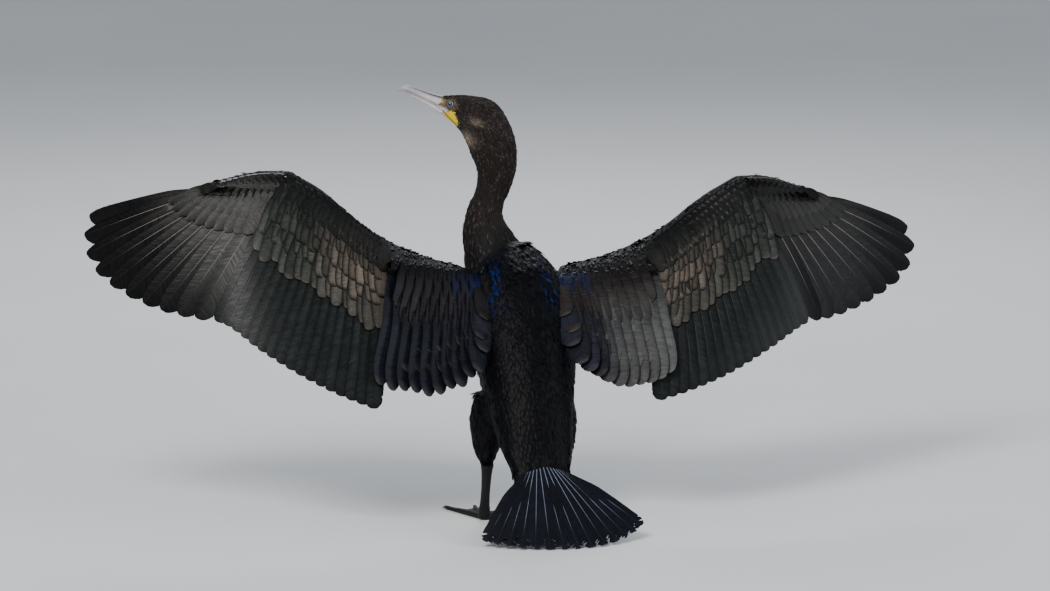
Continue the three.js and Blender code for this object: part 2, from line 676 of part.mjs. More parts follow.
const lids = [eyelid(1), eyelid(-1)];
const eyeRoom = [1, -1].map((left) => ball(eyeCentre(left), EYE_R + GAP));
const billRoom = [mandible(UPPER_BILL, GAP), mandible(LOWER_BILL, GAP)];
const HEAD_CUT = V(-22, 125, 506);
const HEAD_CUT_NORMAL = V(-0.25, 0, 0.97).normalize();
const NECK_CUT = V(-28, 137, 422);
const NECK_CUT_NORMAL = V(0.2, -0.02, 0.98).normalize();
const headSolid = joined([cut(neckAndHead, HEAD_CUT, HEAD_CUT_NORMAL, 1), ...lids]);
addNode("head", largest(headSolid.subtract(joined([...eyeRoom, ...billRoom]))), BROWN);
const neckUpper = cut(cut(neckAndHead, HEAD_CUT, HEAD_CUT_NORMAL, -1), NECK_CUT, NECK_CUT_NORMAL, 1);
addNode("neck_upper", largest(neckUpper), BROWN);
addNode("neck_lower", largest(cut(neckAndHead, NECK_CUT, NECK_CUT_NORMAL, -1).subtract(torsoRoom)), BROWN);
addNode("bill_upper", mandible(UPPER_BILL), HORN);
addNode("bill_lower", largest(mandible(LOWER_BILL).subtract(mandible(UPPER_BILL, GAP))), HORN);
addNode("eye_left", ball(eyeCentre(1), EYE_R, 16, 10), EYE);
addNode("eye_right", ball(eyeCentre(-1), EYE_R, 16, 10), EYE);

// Legs and webbed feet

const TOES = [
  // heading outward in degrees from forward, length, radius at the root and at the end
  { name: "hind", turn: -105, length: 38, thick: 3.4, thin: 2.4 },
  { name: "inner", turn: -36, length: 60, thick: 4.2, thin: 2.8 },
  { name: "middle", turn: -4, length: 78, thick: 4.6, thin: 3.0 },
  { name: "outer", turn: 22, length: 90, thick: 4.8, thin: 3.0 },
];
const LEGS_SHIFT = -8; // the weight is over the bird's left
const CLAW_LENGTH = 10;
const WEB_THICK = 1.6;
const ABOVE_GROUND = [0, 0, 1];

function plate(outline, low, high) {
  const bottom = outline.map((p) => V(p.x, p.y, low));
  const top = outline.map((p) => V(p.x, p.y, high));
  return loft([bottom, top]);
}

for (const [name, side] of [["left", -1], ["right", 1]]) {
  const hub = V(57 * side + LEGS_SHIFT, 4, 8);
  const ankle = V(56 * side + LEGS_SHIFT, -10, 82);
  const drop = dirOf(ankle, hub);
  const thigh = trunk(
    [
      { at: V(40 * side + LEGS_SHIFT, 6, 176), side: ACROSS, wide: 31, back: 34, front: 34 },
      { at: V(49 * side + LEGS_SHIFT, 8, 140), side: ACROSS, wide: 29, back: 30, front: 30 },
      { at: V(54 * side + LEGS_SHIFT, 2, 108), side: ACROSS, wide: 22, back: 21, front: 21 },
      { at: ankle, side: ACROSS, wide: 11.5, back: 12, front: 12 },
    ],
    8,
    16,
  );
  addNode(`thigh_${name}`, largest(cut(thigh, ankle, drop, -1).subtract(torsoRoom)), BLACK);
  const top = moved(ankle, drop, -2);
  const shank = trunk(
    [
      { at: top, side: ACROSS, wide: 9.5, back: 9.5, front: 9.5 },
      { at: along(top, hub, 0.2), side: ACROSS, wide: 7.4, back: 8.4, front: 8.4 },
      { at: along(top, hub, 0.6), side: ACROSS, wide: 6.2, back: 7.6, front: 7.6 },
      { at: along(top, hub, 0.92), side: ACROSS, wide: 7.4, back: 8.2, front: 8.2 },
    ],
    8,
    14,
  );
  const heel = along(top, hub, 0.86);
  addNode(`shank_${name}`, largest(cut(cut(shank, ankle, drop, 1), heel, drop, -1)), LEATHER);

  const toes = TOES.map((toe) => {
    const turn = THREE.MathUtils.degToRad(toe.turn);
    const run = V(Math.sin(turn) * side, Math.cos(turn), 0);
    const end = moved(V(hub.x, hub.y, 0), run, toe.length);
    const across = V(run.y, -run.x, 0);
    const at = (t, lift) => moved(along(V(hub.x, hub.y, 0), end, t), V(0, 0, 1), lift);
    const stations = [
      { at: at(0, toe.thick * 0.9), side: across, wide: toe.thick, back: toe.thick, front: toe.thick },
      { at: at(0.4, toe.thick * 0.85), side: across, wide: toe.thick, back: toe.thick, front: toe.thick },
      { at: at(0.8, toe.thin * 0.85), side: across, wide: toe.thin, back: toe.thin, front: toe.thin },
      { at: at(1, toe.thin * 0.85), side: across, wide: toe.thin, back: toe.thin, front: toe.thin },
    ];
    return { ...toe, run, end, across, solid: trunk(stations, 4, 8) };
  });
  const corners = [V(hub.x, hub.y, 0)];
  toes.forEach((toe, k) => {
    corners.push(toe.end.clone());
    const next = toes[k + 1];
    if (!next) return;
    for (const t of [0.25, 0.5, 0.75]) {
      const slack = 1 - 0.6 * t * (1 - t);
      const edge = along(toe.end, next.end, t);
      corners.push(along(corners[0], edge, slack));
    }
  });
  const web = plate(corners, 0, WEB_THICK);
  const instep = trunk(
    [
      { at: moved(heel, drop, -3), side: ACROSS, wide: 7.6, back: 8.4, front: 8.4 },
      { at: V(hub.x, hub.y + 2, 7), side: ACROSS, wide: 8.6, back: 8.6, front: 8.6 },
      { at: V(hub.x, hub.y + 8, 3), side: ACROSS, wide: 6, back: 6, front: 6 },
    ],
    6,
    14,
  );
  const foot = joined([web, cut(instep, heel, drop, 1), ...toes.map((t) => t.solid)]).trimByPlane(ABOVE_GROUND, 0);
  const clawSolids = toes.map((toe) => {
    const at = (reach, lift) => moved(moved(toe.end, toe.run, reach), V(0, 0, 1), lift);
    const wide = toe.thin * 0.8;
    return trunk(
      [
        { at: at(GAP, toe.thin * 0.95), side: toe.across, wide, back: wide, front: wide },
        { at: at(CLAW_LENGTH * 0.5, toe.thin * 0.9), side: toe.across, wide: wide * 0.8, back: wide * 0.8, front: wide * 0.8 },
        { at: at(CLAW_LENGTH, 0.9), side: toe.across, wide: 0.7, back: 0.7, front: 0.6 },
      ],
      3,
      8,
    );
  });
  addNode(`foot_${name}`, largest(foot), LEATHER);
  toes.forEach((toe, k) => addNode(`claw_${toe.name}_${name}`, clawSolids[k], CLAW));
}

// The middle of the whole bounding box comes over the origin, with the lowest point on Z = 0.
const box = new THREE.Box3().setFromObject(bird);
const shift = V(-(box.min.x + box.max.x) / 2, -(box.min.y + box.max.y) / 2, -box.min.z);
for (const part of bird.children) part.geometry.translate(shift.x, shift.y, shift.z);

export default bird;
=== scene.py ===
"""A great cormorant drying its spread wings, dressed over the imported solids.

Everything is laid out in millimetres from a point on the ground between the bird's feet,
facing +Y with its own right at +X, and is moved into the frame in metres when a mesh is made.
"""

import itertools
import math

import bpy
import numpy as np
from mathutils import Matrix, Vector
from mathutils.bvhtree import BVHTree


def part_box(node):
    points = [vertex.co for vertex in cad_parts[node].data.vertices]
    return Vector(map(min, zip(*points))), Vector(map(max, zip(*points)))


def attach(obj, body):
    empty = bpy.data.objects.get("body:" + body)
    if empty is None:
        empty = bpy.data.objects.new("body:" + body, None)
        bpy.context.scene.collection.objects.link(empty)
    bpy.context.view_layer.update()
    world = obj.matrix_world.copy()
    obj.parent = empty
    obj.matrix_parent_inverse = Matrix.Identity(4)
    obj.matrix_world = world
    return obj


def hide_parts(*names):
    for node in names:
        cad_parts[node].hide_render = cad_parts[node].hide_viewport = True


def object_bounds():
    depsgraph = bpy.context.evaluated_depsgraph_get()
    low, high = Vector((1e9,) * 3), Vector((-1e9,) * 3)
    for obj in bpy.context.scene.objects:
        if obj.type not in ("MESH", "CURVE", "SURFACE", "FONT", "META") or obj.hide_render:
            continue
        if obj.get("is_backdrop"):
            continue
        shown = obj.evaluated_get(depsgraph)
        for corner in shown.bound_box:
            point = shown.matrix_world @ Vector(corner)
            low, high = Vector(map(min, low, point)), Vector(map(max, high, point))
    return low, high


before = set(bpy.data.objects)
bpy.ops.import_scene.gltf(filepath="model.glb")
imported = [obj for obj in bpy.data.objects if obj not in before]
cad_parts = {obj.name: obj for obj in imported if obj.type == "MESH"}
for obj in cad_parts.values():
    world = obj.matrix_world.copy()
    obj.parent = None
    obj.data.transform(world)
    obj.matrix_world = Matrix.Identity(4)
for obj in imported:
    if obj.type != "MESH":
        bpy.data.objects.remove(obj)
cad_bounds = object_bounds()
rng = np.random.default_rng(7)


def vec(*values):
    return np.array(values, dtype=float)


def unit(v):
    v = np.asarray(v, dtype=float)
    return v / np.maximum(np.linalg.norm(v, axis=-1, keepdims=True), 1e-9)


def mix(a, b, t):
    return a + (b - a) * t


def clamp(x):
    return min(max(x, 0), 1)


def smoothstep(low, high, x):
    t = np.clip((x - low) / (high - low), 0, 1)
    return t * t * (3 - 2 * t)


def circle(sides):
    """The cosine and sine at even turns round a circle."""
    turns = [2 * math.pi * k / sides for k in range(sides)]
    return [(math.cos(a), math.sin(a)) for a in turns]


def cubic(a, b, leave, arrive, t):
    """A cubic from a to b with these slopes at its ends."""
    cube, square = t**3, t**2
    return (
        (2 * cube - 3 * square + 1) * a
        + (cube - 2 * square + t) * leave
        + (3 * square - 2 * cube) * b
        + (cube - square) * arrive
    )


def column_at(rows, column, f):
    """A column of the rows at place f, smooth through them."""
    last = len(rows) - 1
    i = min(int(f), last - 1)
    a, b, c, d = (rows[min(max(j, 0), last)][column] for j in range(i - 1, i + 3))
    return cubic(b, c, (c - a) / 2, (d - b) / 2, f - i)


ACROSS = vec(1, 0, 0)
UP = vec(0, 0, 1)
NEARBY = 1e-3  # the step for a curve's direction


class Curve:
    """A centripetal Catmull-Rom curve, by share of its points or of its length."""

    def __init__(self, points):
        self.points = np.array(points, dtype=float)
        self.table = np.array([self.point(t) for t in np.linspace(0, 1, 201)])
        steps = np.linalg.norm(np.diff(self.table, axis=0), axis=1)
        self.lengths = np.concatenate([[0], np.cumsum(steps)])

    def point(self, t):
        p = self.points
        f = clamp(t) * (len(p) - 1)
        i = min(int(f), len(p) - 2)
        a, b = p[i], p[i + 1]
        before = p[i - 1] if i > 0 else 2 * a - b
        after = p[i + 2] if i + 2 < len(p) else 2 * b - a
        d0, d1, d2 = (np.sqrt(np.linalg.norm(q - r)) for q, r in ((before, a), (a, b), (b, after)))
        leave = ((a - before) / d0 - (b - before) / (d0 + d1) + (b - a) / d1) * d1
        arrive = ((b - a) / d1 - (after - a) / (d1 + d2) + (after - b) / d2) * d1
        return cubic(a, b, leave, arrive, f - i)

    def at(self, share):
        along = clamp(share) * self.lengths[-1]
        return np.array([np.interp(along, self.lengths, self.table[:, k]) for k in range(3)])


# The body's stations from the tail to the forehead: place, side, half width, back and front

TORSO = [
    (-8, -100, 82, ACROSS, 40, 13, 14),
    (-8, -76, 108, ACROSS, 50, 24, 26),
    (-7, -42, 150, ACROSS, 59, 41, 52),
    (-3, 2, 205, ACROSS, 69, 52, 74),
    (0, 46, 258, ACROSS, 76, 57, 82),
    (-2, 86, 306, ACROSS, 74, 55, 70),
    (-10, 112, 338, ACROSS, 58, 42, 50),
    (-18, 124, 356, ACROSS, 44, 32, 38),
]
HEAD_SIDE = vec(0.24, 0.97, 0)
HEAD_AHEAD = unit(vec(-0.9, 0.22, 0.37))
NECK = [
    (-16, 118, 336, ACROSS, 50, 38, 42),
    (-25, 129, 364, ACROSS, 40, 31, 35),
    (-31, 136, 389, ACROSS, 33, 27, 30),
    (-31, 138, 411, vec(0.8, 0.3, 0), 27, 25, 26),
    (-25, 136, 434, vec(0.6, 0.7, 0), 23, 23, 23),
    (-19, 132, 455, HEAD_SIDE, 21, 25, 25),
    (-17, 128, 478, HEAD_SIDE, 21, 29, 29),
    (-21, 125, 502, HEAD_SIDE, 22, 33, 33),
    (-30, 125, 526, HEAD_SIDE, 23, 35, 33),
    (-44, 128, 544, HEAD_SIDE, 22.5, 37, 30),
    (-60, 132, 555, HEAD_SIDE, 20, 29, 24),
    (-76, 136, 563, HEAD_SIDE, 15.5, 21, 19.5),
    (-90, 139, 569, HEAD_SIDE, 11, 13.6, 15),
    (-97.5, 141.3, 571.9, HEAD_SIDE, 8.9, 10.4, 13),
]
TAIL_BASE = [
    (-8, -78, 100, ACROSS, 45, 20, 20),
    (-8, -100, 78, ACROSS, 43, 15, 15),
    (-6, -122, 60, ACROSS, 40, 10, 10),
    (-4, -138, 48, ACROSS, 30, 4.5, 4.5),
]
LEGS_SHIFT = -8  # the weight is over the bird's left


def thigh_stations(side):
    return [
        (40 * side + LEGS_SHIFT, 6, 176, ACROSS, 31, 34, 34),
        (49 * side + LEGS_SHIFT, 8, 140, ACROSS, 29, 30, 30),
        (54 * side + LEGS_SHIFT, 2, 108, ACROSS, 22, 21, 21),
        (56 * side + LEGS_SHIFT, -10, 82, ACROSS, 11.5, 12, 12),
    ]


def trunk(stations, steps, sides, grow=0.0):
    """Oval rings along the stations, with their centres and the line's direction at each."""
    path = Curve([s[:3] for s in stations])
    last = len(stations) - 1
    rings, centres, tangents = [], [], []
    for k in range(steps + 1):
        t = k / steps
        f = t * last
        i = min(int(f), last - 1)
        centre = path.point(t)
        ahead = unit(path.point(min(t + NEARBY, 1)) - path.point(max(t - NEARBY, 0)))
        side = mix(stations[i][3], stations[i + 1][3], f - i)
        side = unit(side - ahead * side.dot(ahead))
        up = np.cross(side, ahead)
        wide, back, front = (max(column_at(stations, c, f) + grow, 0.5) for c in (4, 5, 6))
        if k in (0, steps):
            centre = centre + ahead * (grow if k else -grow)
        rings.append([centre + side * wide * c + up * (back if s > 0 else front) * s
                      for c, s in circle(sides)])
        centres.append(centre)
        tangents.append(ahead)
    return np.array(rings), np.array(centres), np.array(tangents)


# The head's own axes, from the bill's root

BILL_ROOT = vec(-88, 139, 568)
BILL_UP = unit(np.cross(HEAD_AHEAD, HEAD_SIDE))
if BILL_UP[2] < 0:
    BILL_UP = -BILL_UP
EYE_AHEAD, EYE_UP, EYE_OUT = -6.4, 4.8, 9
EYE_R = 5.6
MM = 1000  # in a metre


def on_head(ahead, left, up):
    return BILL_ROOT + HEAD_AHEAD * ahead - HEAD_SIDE * left + BILL_UP * up


def eye_centre(left):
    return on_head(EYE_AHEAD, left * EYE_OUT, EYE_UP)


eye_low, eye_high = (np.array(corner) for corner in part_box("eye_left"))
SHIFT = (eye_low + eye_high) / 2 * MM - eye_centre(1)


def to_frame(points):
    """Millimetres in the bird's own layout to metres in the frame."""
    return (np.asarray(points, dtype=float) + SHIFT) / MM


# Wings: the joints and edges of each, as the solids have them

WINGS = {
    "left": {
        "hand": -1,
        "shoulder": vec(-64, 92, 322),
        "elbow": vec(-202, 30, 362),
        "wrist": vec(-333, 87, 471),
        "hand_end": vec(-424, 117, 469),
        "leading": [(-84, 122, 334), (-150, 104, 366), (-222, 98, 413), (-272, 101, 460), (-318, 104, 489)],
        "hand_leading": [(-318, 104, 489), (-360, 112, 490), (-424, 121, 476)],
        "trailing": [
            (-240, -92, 178), (-290, -78, 198), (-340, -58, 224), (-390, -30, 256), (-435, 8, 290),
            (-465, 36, 294), (-510, 66, 303), (-560, 94, 325), (-598, 116, 358), (-609, 128, 396),
            (-598, 132, 438),
        ],
        "humeral_tips": [(-240, -84, 214), (-180, -92, 198), (-128, -84, 204), (-84, -66, 226)],
    },
    "right": {
        "hand": 1,
        "shoulder": vec(64, 92, 316),
        "elbow": vec(190, 30, 340),
        "wrist": vec(338, 87, 440),
        "hand_end": vec(428, 117, 428),
        "leading": [(80, 122, 330), (142, 104, 352), (212, 98, 387), (272, 101, 430), (324, 104, 458)],
        "hand_leading": [(324, 104, 458), (368, 112, 456), (428, 121, 436)],
        "trailing": [
            (158, -92, 172), (214, -80, 184), (274, -60, 201), (340, -32, 228), (405, 4, 256),
            (446, 36, 256), (496, 66, 264), (544, 94, 280), (582, 114, 302), (601, 128, 334),
            (588, 132, 374),
        ],
        "humeral_tips": [(184, -84, 213), (150, -92, 196), (104, -84, 200), (56, -64, 230)],
    },
}
PRIMARIES = 10
SECONDARIES = 17
TAIL_FEATHERS = 14
ELBOW_SHARE = 0.42  # where the forearm's part of the leading edge begins
SECONDARY_SHARE = 0.5  # of the trailing edge
FACE_TURN = (0.85, 1.25)  # the span over which the wing's face turns to the hand's
CAMBER = 0.05
ROUNDING = 30  # how far in front of the bones the surface turns over


class Wing:
    """A wing's surface: span 0 at the elbow, 1 at the wrist and 2 at the hand's end."""

    def __init__(self, data):
        self.hand = data["hand"]
        self.bones = [data["elbow"], data["wrist"], data["hand_end"]]
        self.shoulder = data["shoulder"]
        self.edge = Curve(data["trailing"])
        self.front = Curve(data["leading"])
        self.hand_front = Curve(data["hand_leading"])
        self.humeral_edge = Curve(data["humeral_tips"])
        flat = np.cross(unit(self.tip(1.95) - self.tip(1.1)), self.back(1.4)) * self.hand
        self.hand_dorsal = unit(flat if flat[1] < 0 else -flat)

    def bone(self, span):
        i = 0 if span < 1 else 1
        return mix(self.bones[i], self.bones[i + 1], span - i)

    def tip(self, span):
        share = span * SECONDARY_SHARE if span < 1 else mix(SECONDARY_SHARE, 1, span - 1)
        return self.edge.at(share)

    def fore(self, span):
        if span < 1:
            return self.front.at(mix(ELBOW_SHARE, 1, max(span, 0)))
        return self.hand_front.at(span - 1)

    def back(self, span):
        return unit(self.tip(span) - self.bone(span))

    def outward(self, span):
        i = 0 if span < 1 else 1
        return unit(self.bones[i + 1] - self.bones[i])

    def lead(self, span, share):
        """The direction from one feather to the next, at a share of the way to their tips."""
        tips = unit(self.tip(min(span + 0.06, 2)) - self.tip(max(span - 0.06, 0)))
        return unit(mix(self.outward(span), tips, clamp(share)))

    def depth(self, span):
        return np.linalg.norm(self.fore(span) - self.bone(span))

    def dorsal(self, span):
        if span > FACE_TURN[1]:
            return self.hand_dorsal
        normal = np.zeros(3)
        for s in (span - 0.15, span, span + 0.15):
            c = min(max(s, 0), 2)
            edge = unit(self.tip(min(c + 0.1, 2)) - self.tip(max(c - 0.1, 0)))
            normal += unit(np.cross(unit(edge + self.outward(c)), self.back(c)) * self.hand)
        normal = unit(normal if normal[1] < 0 else -normal)
        turn = (span - FACE_TURN[0]) / (FACE_TURN[1] - FACE_TURN[0])
        return unit(mix(normal, self.hand_dorsal, clamp(turn)))

    def length(self, span):
        return np.linalg.norm(self.tip(span) - self.bone(span))

    def point(self, span, chord, height):
        """A place on the wing, by the distance behind the bones and the height over it."""
        base = self.bone(span)
        if chord >= 0:
            camber = CAMBER * chord * 4 * max(1 - chord / self.length(span), 0)
            return base + self.back(span) * chord + self.dorsal(span) * (height + camber)
        to_front = unit(self.fore(span) - base)
        normal = np.cross(unit(base - self.fore(span)), self.outward(span))
        if normal.dot(self.dorsal(span)) < 0:
            normal = -normal
        normal = unit(mix(self.dorsal(span), normal, min(-chord / ROUNDING, 1)))
        return base - to_front * chord + normal * height


wings = {name: Wing(data) for name, data in WINGS.items()}

# Meshes


def add_object(name, data):
    made = bpy.data.objects.new(name, data)
    bpy.context.scene.collection.objects.link(made)
    return made


def mesh_object(name, points, faces):
    mesh = bpy.data.meshes.new(name)
    mesh.from_pydata(to_frame(points).tolist(), [], faces)
    mesh.validate()
    mesh.shade_smooth()
    return add_object(name, mesh)


def store_tint(mesh, tints):
    colours = np.column_stack([tints, np.ones(len(tints))])
    mesh.attributes.new("tint", "FLOAT_COLOR", "POINT").data.foreach_set("color", colours.ravel())


def finish_piece(piece, material, slot, *nodes):
    piece.data.materials.clear()
    piece.data.materials.append(material)
    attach(piece, "root")
    if nodes:
        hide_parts(*nodes)


def tinted_piece(name, points, faces, tints, material, slot, *nodes):
    piece = mesh_object(name, np.array(points), faces)
    store_tint(piece.data, np.array(tints))
    finish_piece(piece, material, slot, *nodes)


def ring_faces(rings, sides, start=0):
    faces = []
    for r in range(rings - 1):
        for k in range(sides):
            a = start + r * sides + k
            b = start + r * sides + (k + 1) % sides
            faces.append((a, b, b + sides, a + sides))
    faces.append(tuple(start + k for k in reversed(range(sides))))
    faces.append(tuple(start + (rings - 1) * sides + k for k in range(sides)))
    return faces


SHARP_EDGE = math.radians(50)


class Pile:
    """Many small shapes gathered into one mesh, with colours and shading values at the points."""

    def __init__(self):
        self.points, self.faces, self.tints, self.lies, self.patches = [], [], [], [], []
        self.count = 0

    def add(self, points, faces, tints, lies, patches):
        self.points.append(points)
        self.faces.append(np.asarray(faces) + self.count)
        self.tints.append(tints)
        self.lies.append(lies)
        self.patches.append(patches)
        self.count += len(points)

    def make(self, name, material, slot, *nodes):
        points = to_frame(np.concatenate(self.points))
        faces = np.concatenate(self.faces)
        mesh = bpy.data.meshes.new(name)
        mesh.vertices.add(len(points))
        mesh.vertices.foreach_set("co", points.ravel())
        mesh.loops.add(faces.size)
        mesh.loops.foreach_set("vertex_index", faces.ravel().astype(np.int32))
        mesh.polygons.add(len(faces))
        mesh.polygons.foreach_set("loop_start", np.arange(0, faces.size, 3, dtype=np.int32))
        mesh.update(calc_edges=True)
        store_tint(mesh, np.concatenate(self.tints))
        lie = mesh.attributes.new("lie", "FLOAT_VECTOR", "POINT")
        lie.data.foreach_set("vector", np.concatenate(self.lies).ravel())
        patch = np.concatenate(self.patches)[faces.ravel()]
        mesh.uv_layers.new(name="OFBake").data.foreach_set("uv", patch.ravel())
        mesh.shade_smooth()
        mesh.set_sharp_from_angle(angle=SHARP_EDGE)
        finish_piece(add_object(name, mesh), material, slot, *nodes)


# Materials


class Nodes:
    """Short names for building a material's node tree."""

    def __init__(self, name):
        self.material = bpy.data.materials.new(name)
        self.material.use_nodes = True
        self.tree = self.material.node_tree
        self.shader = self.tree.nodes["Principled BSDF"]

    def node(self, kind, **settings):
        made = self.tree.nodes.new(kind)
        for key, value in settings.items():
            setattr(made, key, value)
        return made

    def link(self, source, target):
        self.tree.links.new(source, target)

    def attribute(self, name, output):
        return self.node("ShaderNodeAttribute", attribute_name=name).outputs[output]

    def times(self, value, factor):
        made = self.node("ShaderNodeMath", operation="MULTIPLY")
        self.link(value, made.inputs[0])
        self.link(factor, made.inputs[1])
        return made.outputs[0]

    def noise(self, scale, detail, coordinates=None):
        made = self.node("ShaderNodeTexNoise")
        made.inputs["Scale"].default_value = scale
        made.inputs["Detail"].default_value = detail
        made.inputs["Roughness"].default_value = 0.6
        if coordinates is None:
            coordinates = self.node("ShaderNodeTexCoord").outputs["Object"]
        self.link(coordinates, made.inputs["Vector"])
        return made.outputs[0]

    def ramp(self, value, to_low, to_high, low=0.3, high=0.7):
        """The value's range from low to high, stretched to another one."""
        made = self.node("ShaderNodeMapRange")
        self.link(value, made.inputs["Value"])
        for key, number in (("From Min", low), ("From Max", high), ("To Min", to_low), ("To Max", to_high)):
            made.inputs[key].default_value = number
        return made.outputs[0]

    def between(self, value, dark, light, end=0.7):
        """From the dark colour to the light one as the value grows."""
        made = self.node("ShaderNodeValToRGB")
        for element, position, colour in zip(made.color_ramp.elements, (0.3, end), (dark, light)):
            element.position = position
            element.color = (*colour, 1)
        self.link(value, made.inputs[0])
        return made.outputs[0]

    def colour(self, colour, factor=None):
        """The surface's colour, darkened or lightened by the factor where there is one."""
        if factor is not None:
            made = self.node("ShaderNodeVectorMath", operation="SCALE")
            self.link(colour, made.inputs[0])
            self.link(factor, made.inputs["Scale"])
            colour = made.outputs[0]
        self.link(colour, self.shader.inputs["Base Color"])

    def rough(self, value):
        self.link(value, self.shader.inputs["Roughness"])

    def bump(self, height, strength, distance):
        made = self.node("ShaderNodeBump")
        made.inputs["Strength"].default_value = strength
        made.inputs["Distance"].default_value = distance
        self.link(height, made.inputs["Height"])
        self.link(made.outputs[0], self.shader.inputs["Normal"])

    def set(self, **values):
        for key, value in values.items():
            self.shader.inputs[key.replace("_", " ")].default_value = value


MOTTLING = (0.82, 1.18)
BLUE_GLOSS = (0.55, 0.75, 1.0)
GREEN_GLOSS = (0.75, 1.0, 0.9)


def plumage(name, barbs, barb_depth, roughness, gloss, coat, coat_tint):
    """Feather: the point's tint, broken up by barbs that slant off the shaft and by soft mottling."""
    m = Nodes(name)
    spread = m.node("ShaderNodeVectorMath", operation="MULTIPLY")
    m.link(m.attribute("lie", "Vector"), spread.inputs[0])
    spread.inputs[1].default_value = (barbs, 0.8, 40.0)
    strands = m.noise(1.0, 3.0, spread.outputs[0])
    mottle = m.noise(60.0, 5.0)
    factor = m.times(m.ramp(strands, 1 - barb_depth, 1 + barb_depth), m.ramp(mottle, *MOTTLING))
    m.colour(m.attribute("tint", "Color"), factor)
    m.rough(m.ramp(strands, roughness - 0.1, roughness + 0.12))
    m.bump(strands, 0.5, 0.0006)
    m.set(Specular_IOR_Level=gloss, Coat_Weight=coat, Coat_Roughness=0.3, Coat_Tint=(*coat_tint, 1),
          Sheen_Weight=0.0, Sheen_Roughness=0.4)
    return m.material


flight_material = plumage("flight_feather", 60.0, 0.35, 0.36, 0.13, 0.04, GREEN_GLOSS)
body_material = plumage("body_feather", 7.0, 0.3, 0.45, 0.07, 0.02, BLUE_GLOSS)
head_material = plumage("head_feather", 5.0, 0.35, 0.6, 0.15, 0.0, BLUE_GLOSS)


def tinted(name, grain, shades):
    """Nodes for a surface in the points' tint with a fine grain, and the grain."""
    m = Nodes(name)
    value = m.noise(*grain)
    m.colour(m.attribute("tint", "Color"), m.ramp(value, *shades))
    return m, value


def skin_material():
    m, grain = tinted("skin", (420.0, 6.0), (0.6, 1.3))
    m.bump(grain, 0.6, 0.0008)
    m.set(Roughness=0.6, Specular_IOR_Level=0.15)
    return m.material


def horn_material():
    """Bill horn with fine scratches."""
    m, cells = tinted("bill_horn", (260.0, 6.0), (0.78, 1.18))
    m.rough(m.ramp(cells, 0.26, 0.48))
    m.bump(m.noise(900.0, 3.0), 0.35, 0.0003)
    m.set(Coat_Weight=0.2, Coat_Roughness=0.2)
    return m.material


def eye_material():
    m, _ = tinted("eye", (1500.0, 4.0), (0.75, 1.2))
    m.set(Roughness=0.08, Coat_Weight=1.0, Coat_Roughness=0.02)
    return m.material


def scaled_skin_material():
    """Legs, toes and webs: small dark scales with paler seams."""
    m = Nodes("foot_scales")
    cells = m.node("ShaderNodeTexVoronoi", feature="DISTANCE_TO_EDGE")
    cells.inputs["Scale"].default_value = 420.0
    m.link(m.node("ShaderNodeTexCoord").outputs["Object"], cells.inputs["Vector"])
    seams = m.ramp(cells.outputs["Distance"], 0.0, 1.0, 0.0, 0.12)
    worn = m.noise(70.0, 5.0)
    base = m.between(worn, (0.003, 0.003, 0.0035), (0.010, 0.0095, 0.0095))
    m.colour(base, m.ramp(seams, 1.5, 1.0, 0.0, 1.0))
    m.rough(m.ramp(worn, 0.38, 0.6))
    m.bump(seams, 0.7, 0.0005)
    m.set(Specular_IOR_Level=0.2)
    return m.material


def claw_material():
    m = Nodes("claw_horn")
    grain = m.noise(500.0, 4.0)
    m.colour(m.between(grain, (0.008, 0.008, 0.008), (0.04, 0.036, 0.032), 0.75))
    m.bump(grain, 0.3, 0.0002)
    m.set(Roughness=0.32, Coat_Weight=0.3)
    return m.material


def floor_material():
    m = Nodes("floor")
    m.colour(m.between(m.noise(1.5, 2.0), (0.76, 0.765, 0.77), (0.80, 0.805, 0.81)))
    m.set(Roughness=0.9)
    return m.material


# The skin: one surface over body, neck, head, thighs and the wings' flesh

COAT = 2.2  # how far the skin lies inside the solids
NECK_COAT = 1.2
FLESH_INSET = 1.5
SKIN_VOXEL = 0.0022
CHORD_SHARES = [0, 0.05, 0.12, 0.25, 0.4, 0.6, 0.75, 0.9, 1]
UPPER_SHARES = [0.1, 0.45, 0.72, 0.93, 1, 0.93, 0.8, 0.55, 0.3]
LOWER_SHARES = [0.1, 0.4, 0.6, 0.78, 0.85, 0.76, 0.6, 0.42, 0.3]


def flesh_ring(front, rear, across, dorsal, thick):
    """A wing's section: round in front, thickest at the bones and thin behind."""
    back = unit(rear - front)
    up = np.cross(back, across)
    up = unit(up if up.dot(dorsal) > 0 else -up)
    front = front + back * FLESH_INSET
    thick = thick - 2 * FLESH_INSET
    top = [mix(front, rear, c) + up * u * thick / 2 for c, u in zip(CHORD_SHARES, UPPER_SHARES)]
    under = [mix(front, rear, c) - up * u * thick / 2 for c, u in zip(CHORD_SHARES, LOWER_SHARES)]
    return top + under[::-1]


def wing_flesh(w):
    """Rings over the arm from the shoulder to the end of the hand."""
    rings = []
    upper_arm = unit(w.bones[0] - w.shoulder)
    for k in range(11):
        t = k / 10
        bone = mix(w.shoulder, w.bones[0], t)
        front = w.front.at(ELBOW_SHARE * t)
        rear = bone + unit(bone - front) * mix(22, 10, t)
        rings.append(flesh_ring(front, rear, upper_arm, w.dorsal(0), mix(34, 19, t)))
    for k in range(1, 25):
        span = k / 12
        behind = 10 if span <= 1 else mix(10, 6, span - 1)
        thick = mix(19, 15, span) if span <= 1 else mix(15, 7, span - 1)
        rear = w.point(span, behind, 0)
        rings.append(flesh_ring(w.fore(span), rear, w.outward(span), w.dorsal(span), thick))
    return np.array(rings)


